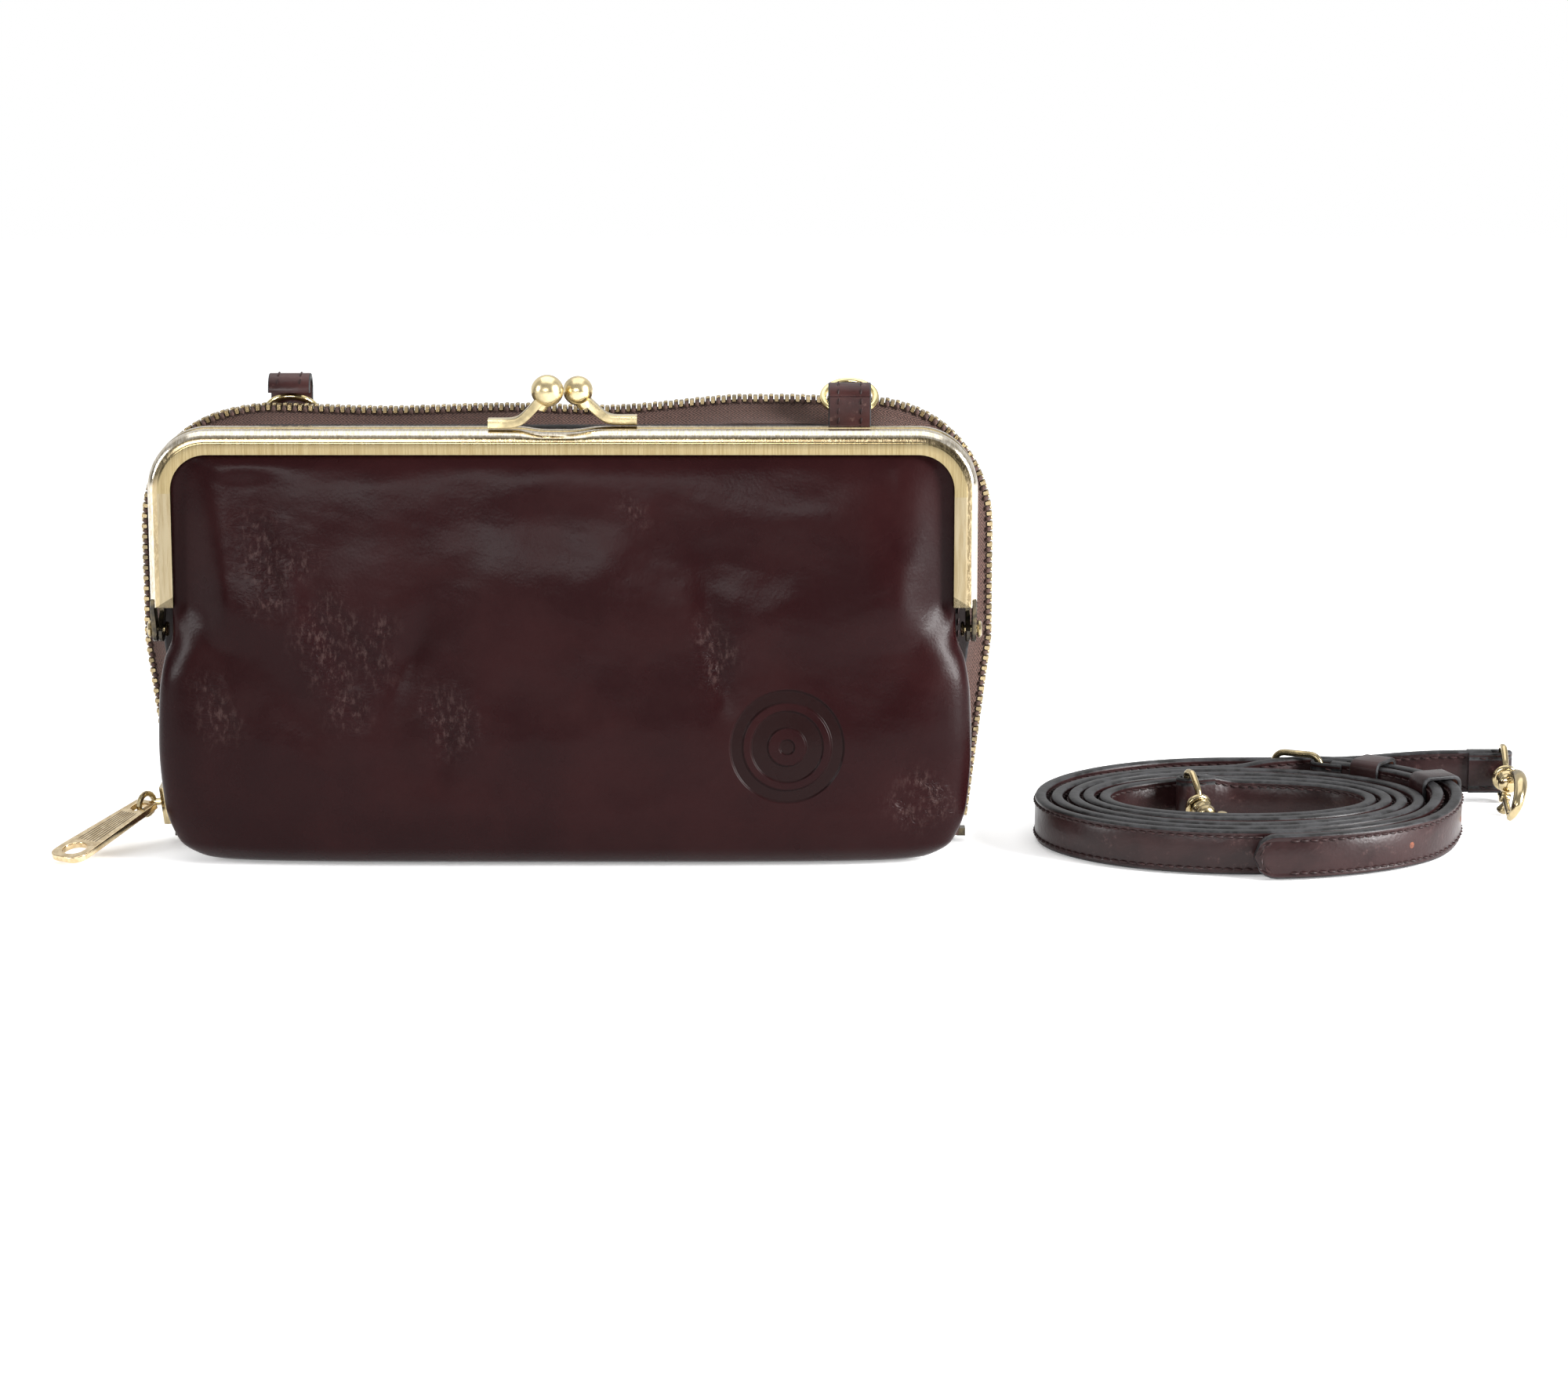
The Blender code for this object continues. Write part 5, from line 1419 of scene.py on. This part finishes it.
def hook(label, bar, heading, droop, roll):
    """A swivel hook: its eye on the strap, a claw that turns by roll, and the claw's gate."""
    heading = Vector(heading).normalized()
    side = Vector((-heading.y, heading.x, 0))
    rows = [[heading[c], side[c], (0, 0, 1)[c], (bar[0], bar[1], STRAP_MID_Z)[c]]
            for c in range(3)]
    place = Matrix(rows + [[0, 0, 0, 1]])
    knee = Matrix.Translation((3, 0, 0))
    sag = place @ knee @ Matrix.Rotation(math.radians(droop), 4, "Y") @ knee.inverted()
    turned = sag @ Matrix.Rotation(math.radians(roll), 4, "X")
    high = STRAP_W / 2 + 1.1
    top = [(3.3, 0, high - 0.1), (2.0, 0, high), (1.0, 0, high), (0.2, 0, high - 0.5),
           (0, 0, high - 1.4), (0, 0, 0)]
    loop = [sag @ Vector((7.0, 0, 2.3)), sag @ Vector((5.6, 0, 4.0))]
    loop += [place @ Vector(p) for p in top]
    loop += [place @ Vector((x, y, -z)) for x, y, z in top[-2::-1]]
    loop += [sag @ Vector((5.6, 0, -3.6)), sag @ Vector((7.0, 0, -2.3))]
    eye = tube(spline([p[:] for p in loop], 4), 0.82, 12)
    disc = lathe([(1.35, 0.1), (1.7, -0.05), (2.7, 0.0), (3.1, 0.2), (3.35, 0.55), (3.35, 1.1),
                  (3.1, 1.45), (2.6, 1.6), (1.8, 1.65), (1.35, 1.5)], (6.15, 0, 0), (1, 0, 0), 32)
    eye.join(disc.move(sag))
    eye_piece = piece(f"eye_{label}", eye, BRASS, "strap", f"hook_eye_{label}")

    horn = spline([(11.9, -1.2, 0), (13.5, -2.5, 0), (16.5, -3.7, 0), (20.0, -4.0, 0),
                   (23.6, -3.3, 0), (26.4, -1.5, 0), (27.9, 0.9, 0), (27.6, 3.2, 0),
                   (26.3, 4.6, 0)], 5)
    t = lengths(horn) / lengths(horn)[-1]
    girth = 1.25 + 0.45 * np.sin(math.pi * np.clip(t * 1.15, 0, 1)) - 0.35 * smooth(0.8, 1, t)
    claw = tube(horn, girth, 16)
    claw.join(lathe([(0.2, 4.35), (1.5, 4.4), (1.9, 4.6), (1.9, 5.3), (1.5, 5.6), (1.0, 5.7),
                     (1.0, 8.0), (1.5, 8.1), (2.3, 8.2), (2.6, 8.6), (2.6, 9.3), (2.2, 9.7),
                     (2.1, 10.3), (2.4, 10.7), (2.55, 11.4), (2.4, 12.2), (1.8, 12.8),
                     (0.3, 13.0)], (0, 0, 0), (1, 0, 0), 32))
    claw.join(lathe([(0.2, -1.3), (1.2, -1.2), (1.35, -0.9), (1.35, 0.9), (1.2, 1.2),
                     (0.2, 1.3)], (13.9, 3.2, 0), (0, 0, 1), 20))
    claw_piece = piece(f"claw_{label}", claw.move(turned), BRASS, f"{label}_claw",
                       f"hook_claw_{label}")

    lever = spline([(15.2, 3.3, 0), (19.0, 3.8, 0), (22.0, 4.15, 0), (24.2, 4.35, 0)], 4)
    gate = tube(lever, 0.85, 12)
    gate.join(lathe([(0.8, 0), (0.75, 0.5), (0.85, 1.2), (1.2, 2.0), (1.45, 2.5), (1.45, 2.9),
                     (1.1, 3.25), (0.2, 3.35)], (16.6, 3.2, 0), (-0.12, 1, 0), 24))
    gate_piece = piece(f"gate_{label}", gate.move(turned), BRASS, f"{label}_gate",
                       f"hook_gate_{label}")
    return eye_piece, claw_piece, gate_piece


outer_hook = hook("outer", OUTER_BAR, (0, -1, 0), 3.4, 250.0)
inner_hook = hook("inner", INNER_BAR, (0.34, -0.94, 0), 12.4, 0.0)
outer_chape = chape("chape_outer", OUTER_BAR, np.array((-1.0, 0, 0)), 8.5, "hook_chape_outer")
inner_chape = chape("chape_inner", INNER_BAR, LEAD_WAY, 6.5, "hook_chape_inner")
heel_way = short_point(4.099) - short_point(4.089)
heel_way /= np.linalg.norm(heel_way)
heel_chape = chape("chape_buckle", np.array((HEEL[0], HEEL[1], 0)), heel_way, 6.0,
                   "buckle_chape")
keeper_fixed = keeper("keeper_fixed", 4.123, "strap_keeper_fixed")
keeper_sliding = keeper("keeper_sliding", 4.205, "strap_keeper_sliding")
buckle_loop, buckle_tongue = buckle()
puller()


# ------------------------------------------------------------------ floor, light and camera

def paper_floor():
    k = Look("floor_paper")
    grain = k.noise(30, 3)
    base = k.mix(k.span(grain, 0.3, 0.7), (0.84, 0.84, 0.84), (0.87, 0.87, 0.87))
    k.shader.inputs["Emission Color"].default_value = (1, 1, 1, 1)
    k.shader.inputs["Emission Strength"].default_value = 0.30
    return k.finish(base, k.span(grain, 0.3, 0.7, 0.7, 0.8), shine=0.1)


def area(name, at, target, width, height, power):
    """A rectangular light of that size (metres) and power (watts), turned to its target."""
    light = bpy.data.lights.new(name, "AREA")
    light.shape = "RECTANGLE"
    light.size = width
    light.size_y = height
    light.energy = power
    made = bpy.data.objects.new(name, light)
    made.location = at
    way = Vector(target) - Vector(at)
    made.rotation_euler = way.to_track_quat("-Z", "Y").to_euler()
    bpy.context.scene.collection.objects.link(made)


FLOOR_X, FLOOR_NEAR, FLOOR_FAR, FLOOR_Z = 2.2, -1.9, 1.3, -0.0004
floor_mesh = bpy.data.meshes.new("floor")
floor_mesh.from_pydata([(-FLOOR_X, FLOOR_NEAR, FLOOR_Z), (FLOOR_X, FLOOR_NEAR, FLOOR_Z),
                        (FLOOR_X, FLOOR_FAR, FLOOR_Z), (-FLOOR_X, FLOOR_FAR, FLOOR_Z)],
                       [], [(0, 1, 2, 3)])
floor_mesh.materials.append(paper_floor())
floor = bpy.data.objects.new("floor", floor_mesh)
bpy.context.scene.collection.objects.link(floor)


def studio_world():
    """A pale room: white to the eye, lit from overhead, with a dim band round the horizon."""
    world = bpy.data.worlds.new("studio")
    bpy.context.scene.world = world
    world.use_nodes = True
    tree = world.node_tree
    place = tree.nodes.new("ShaderNodeTexCoord")
    parts = tree.nodes.new("ShaderNodeSeparateXYZ")
    tree.links.new(place.outputs["Generated"], parts.inputs[0])
    ramp = tree.nodes.new("ShaderNodeValToRGB")
    ramp.color_ramp.interpolation = "EASE"
    tree.links.new(parts.outputs["Z"], ramp.inputs["Fac"])
    stops = ((0.0, 0.05), (0.26, 0.05), (0.46, 0.42), (1.0, 0.55))
    for (at, level), element in zip(stops, [*ramp.color_ramp.elements,
                                            ramp.color_ramp.elements.new(0.3),
                                            ramp.color_ramp.elements.new(0.6)]):
        element.position = at
        element.color = (level, level, level, 1)
    rear = tree.nodes.new("ShaderNodeMapRange")
    rear.interpolation_type = "SMOOTHSTEP"
    tree.links.new(parts.outputs["Y"], rear.inputs["Value"])
    for slot_name, value in (("From Min", 0.10), ("From Max", 0.45), ("To Max", 0.85)):
        rear.inputs[slot_name].default_value = value
    level = tree.nodes.new("ShaderNodeMath")
    level.operation = "MAXIMUM"
    tree.links.new(ramp.outputs["Color"], level.inputs[0])
    tree.links.new(rear.outputs["Result"], level.inputs[1])
    eye = tree.nodes.new("ShaderNodeLightPath")
    choose = tree.nodes.new("ShaderNodeMix")
    choose.data_type = "RGBA"
    tree.links.new(eye.outputs["Is Camera Ray"], choose.inputs[0])
    tree.links.new(level.outputs[0], choose.inputs[6])
    choose.inputs[7].default_value = (1, 1, 1, 1)
    tree.links.new(choose.outputs[2], tree.nodes["Background"].inputs["Color"])


studio_world()
bpy.context.scene.view_settings.view_transform = "Standard"
area("key_top", (0.05, 0.30, 1.7), (0.05, 0.20, 0.0), 1.9, 1.9, 17)
area("front_soft", (-0.25, -1.25, 0.42), (0.0, 0.0, 0.06), 0.70, 0.20, 5.0)
area("left_soft", (-1.05, -0.45, 0.42), (-0.05, 0.0, 0.05), 0.26, 0.5, 7.0)
area("right_soft", (0.95, -0.42, 0.36), (0.1, 0.0, 0.05), 0.28, 0.5, 27)

camera = bpy.data.objects.new("camera", bpy.data.cameras.new("camera"))
bpy.context.scene.collection.objects.link(camera)
bpy.context.scene.camera = camera
AIM = Vector((0.0515, -DATUM_Y * MM, 0.0371))
TILT, DISTANCE = math.radians(12), 1.1
camera.location = AIM + Vector((0, -math.cos(TILT), math.sin(TILT))) * DISTANCE
camera.rotation_euler = (math.radians(90) - TILT, 0, 0)
camera.data.sensor_width = 36.0
camera.data.lens = 106.45
camera.data.clip_start = 0.05
camera.data.clip_end = 20.0
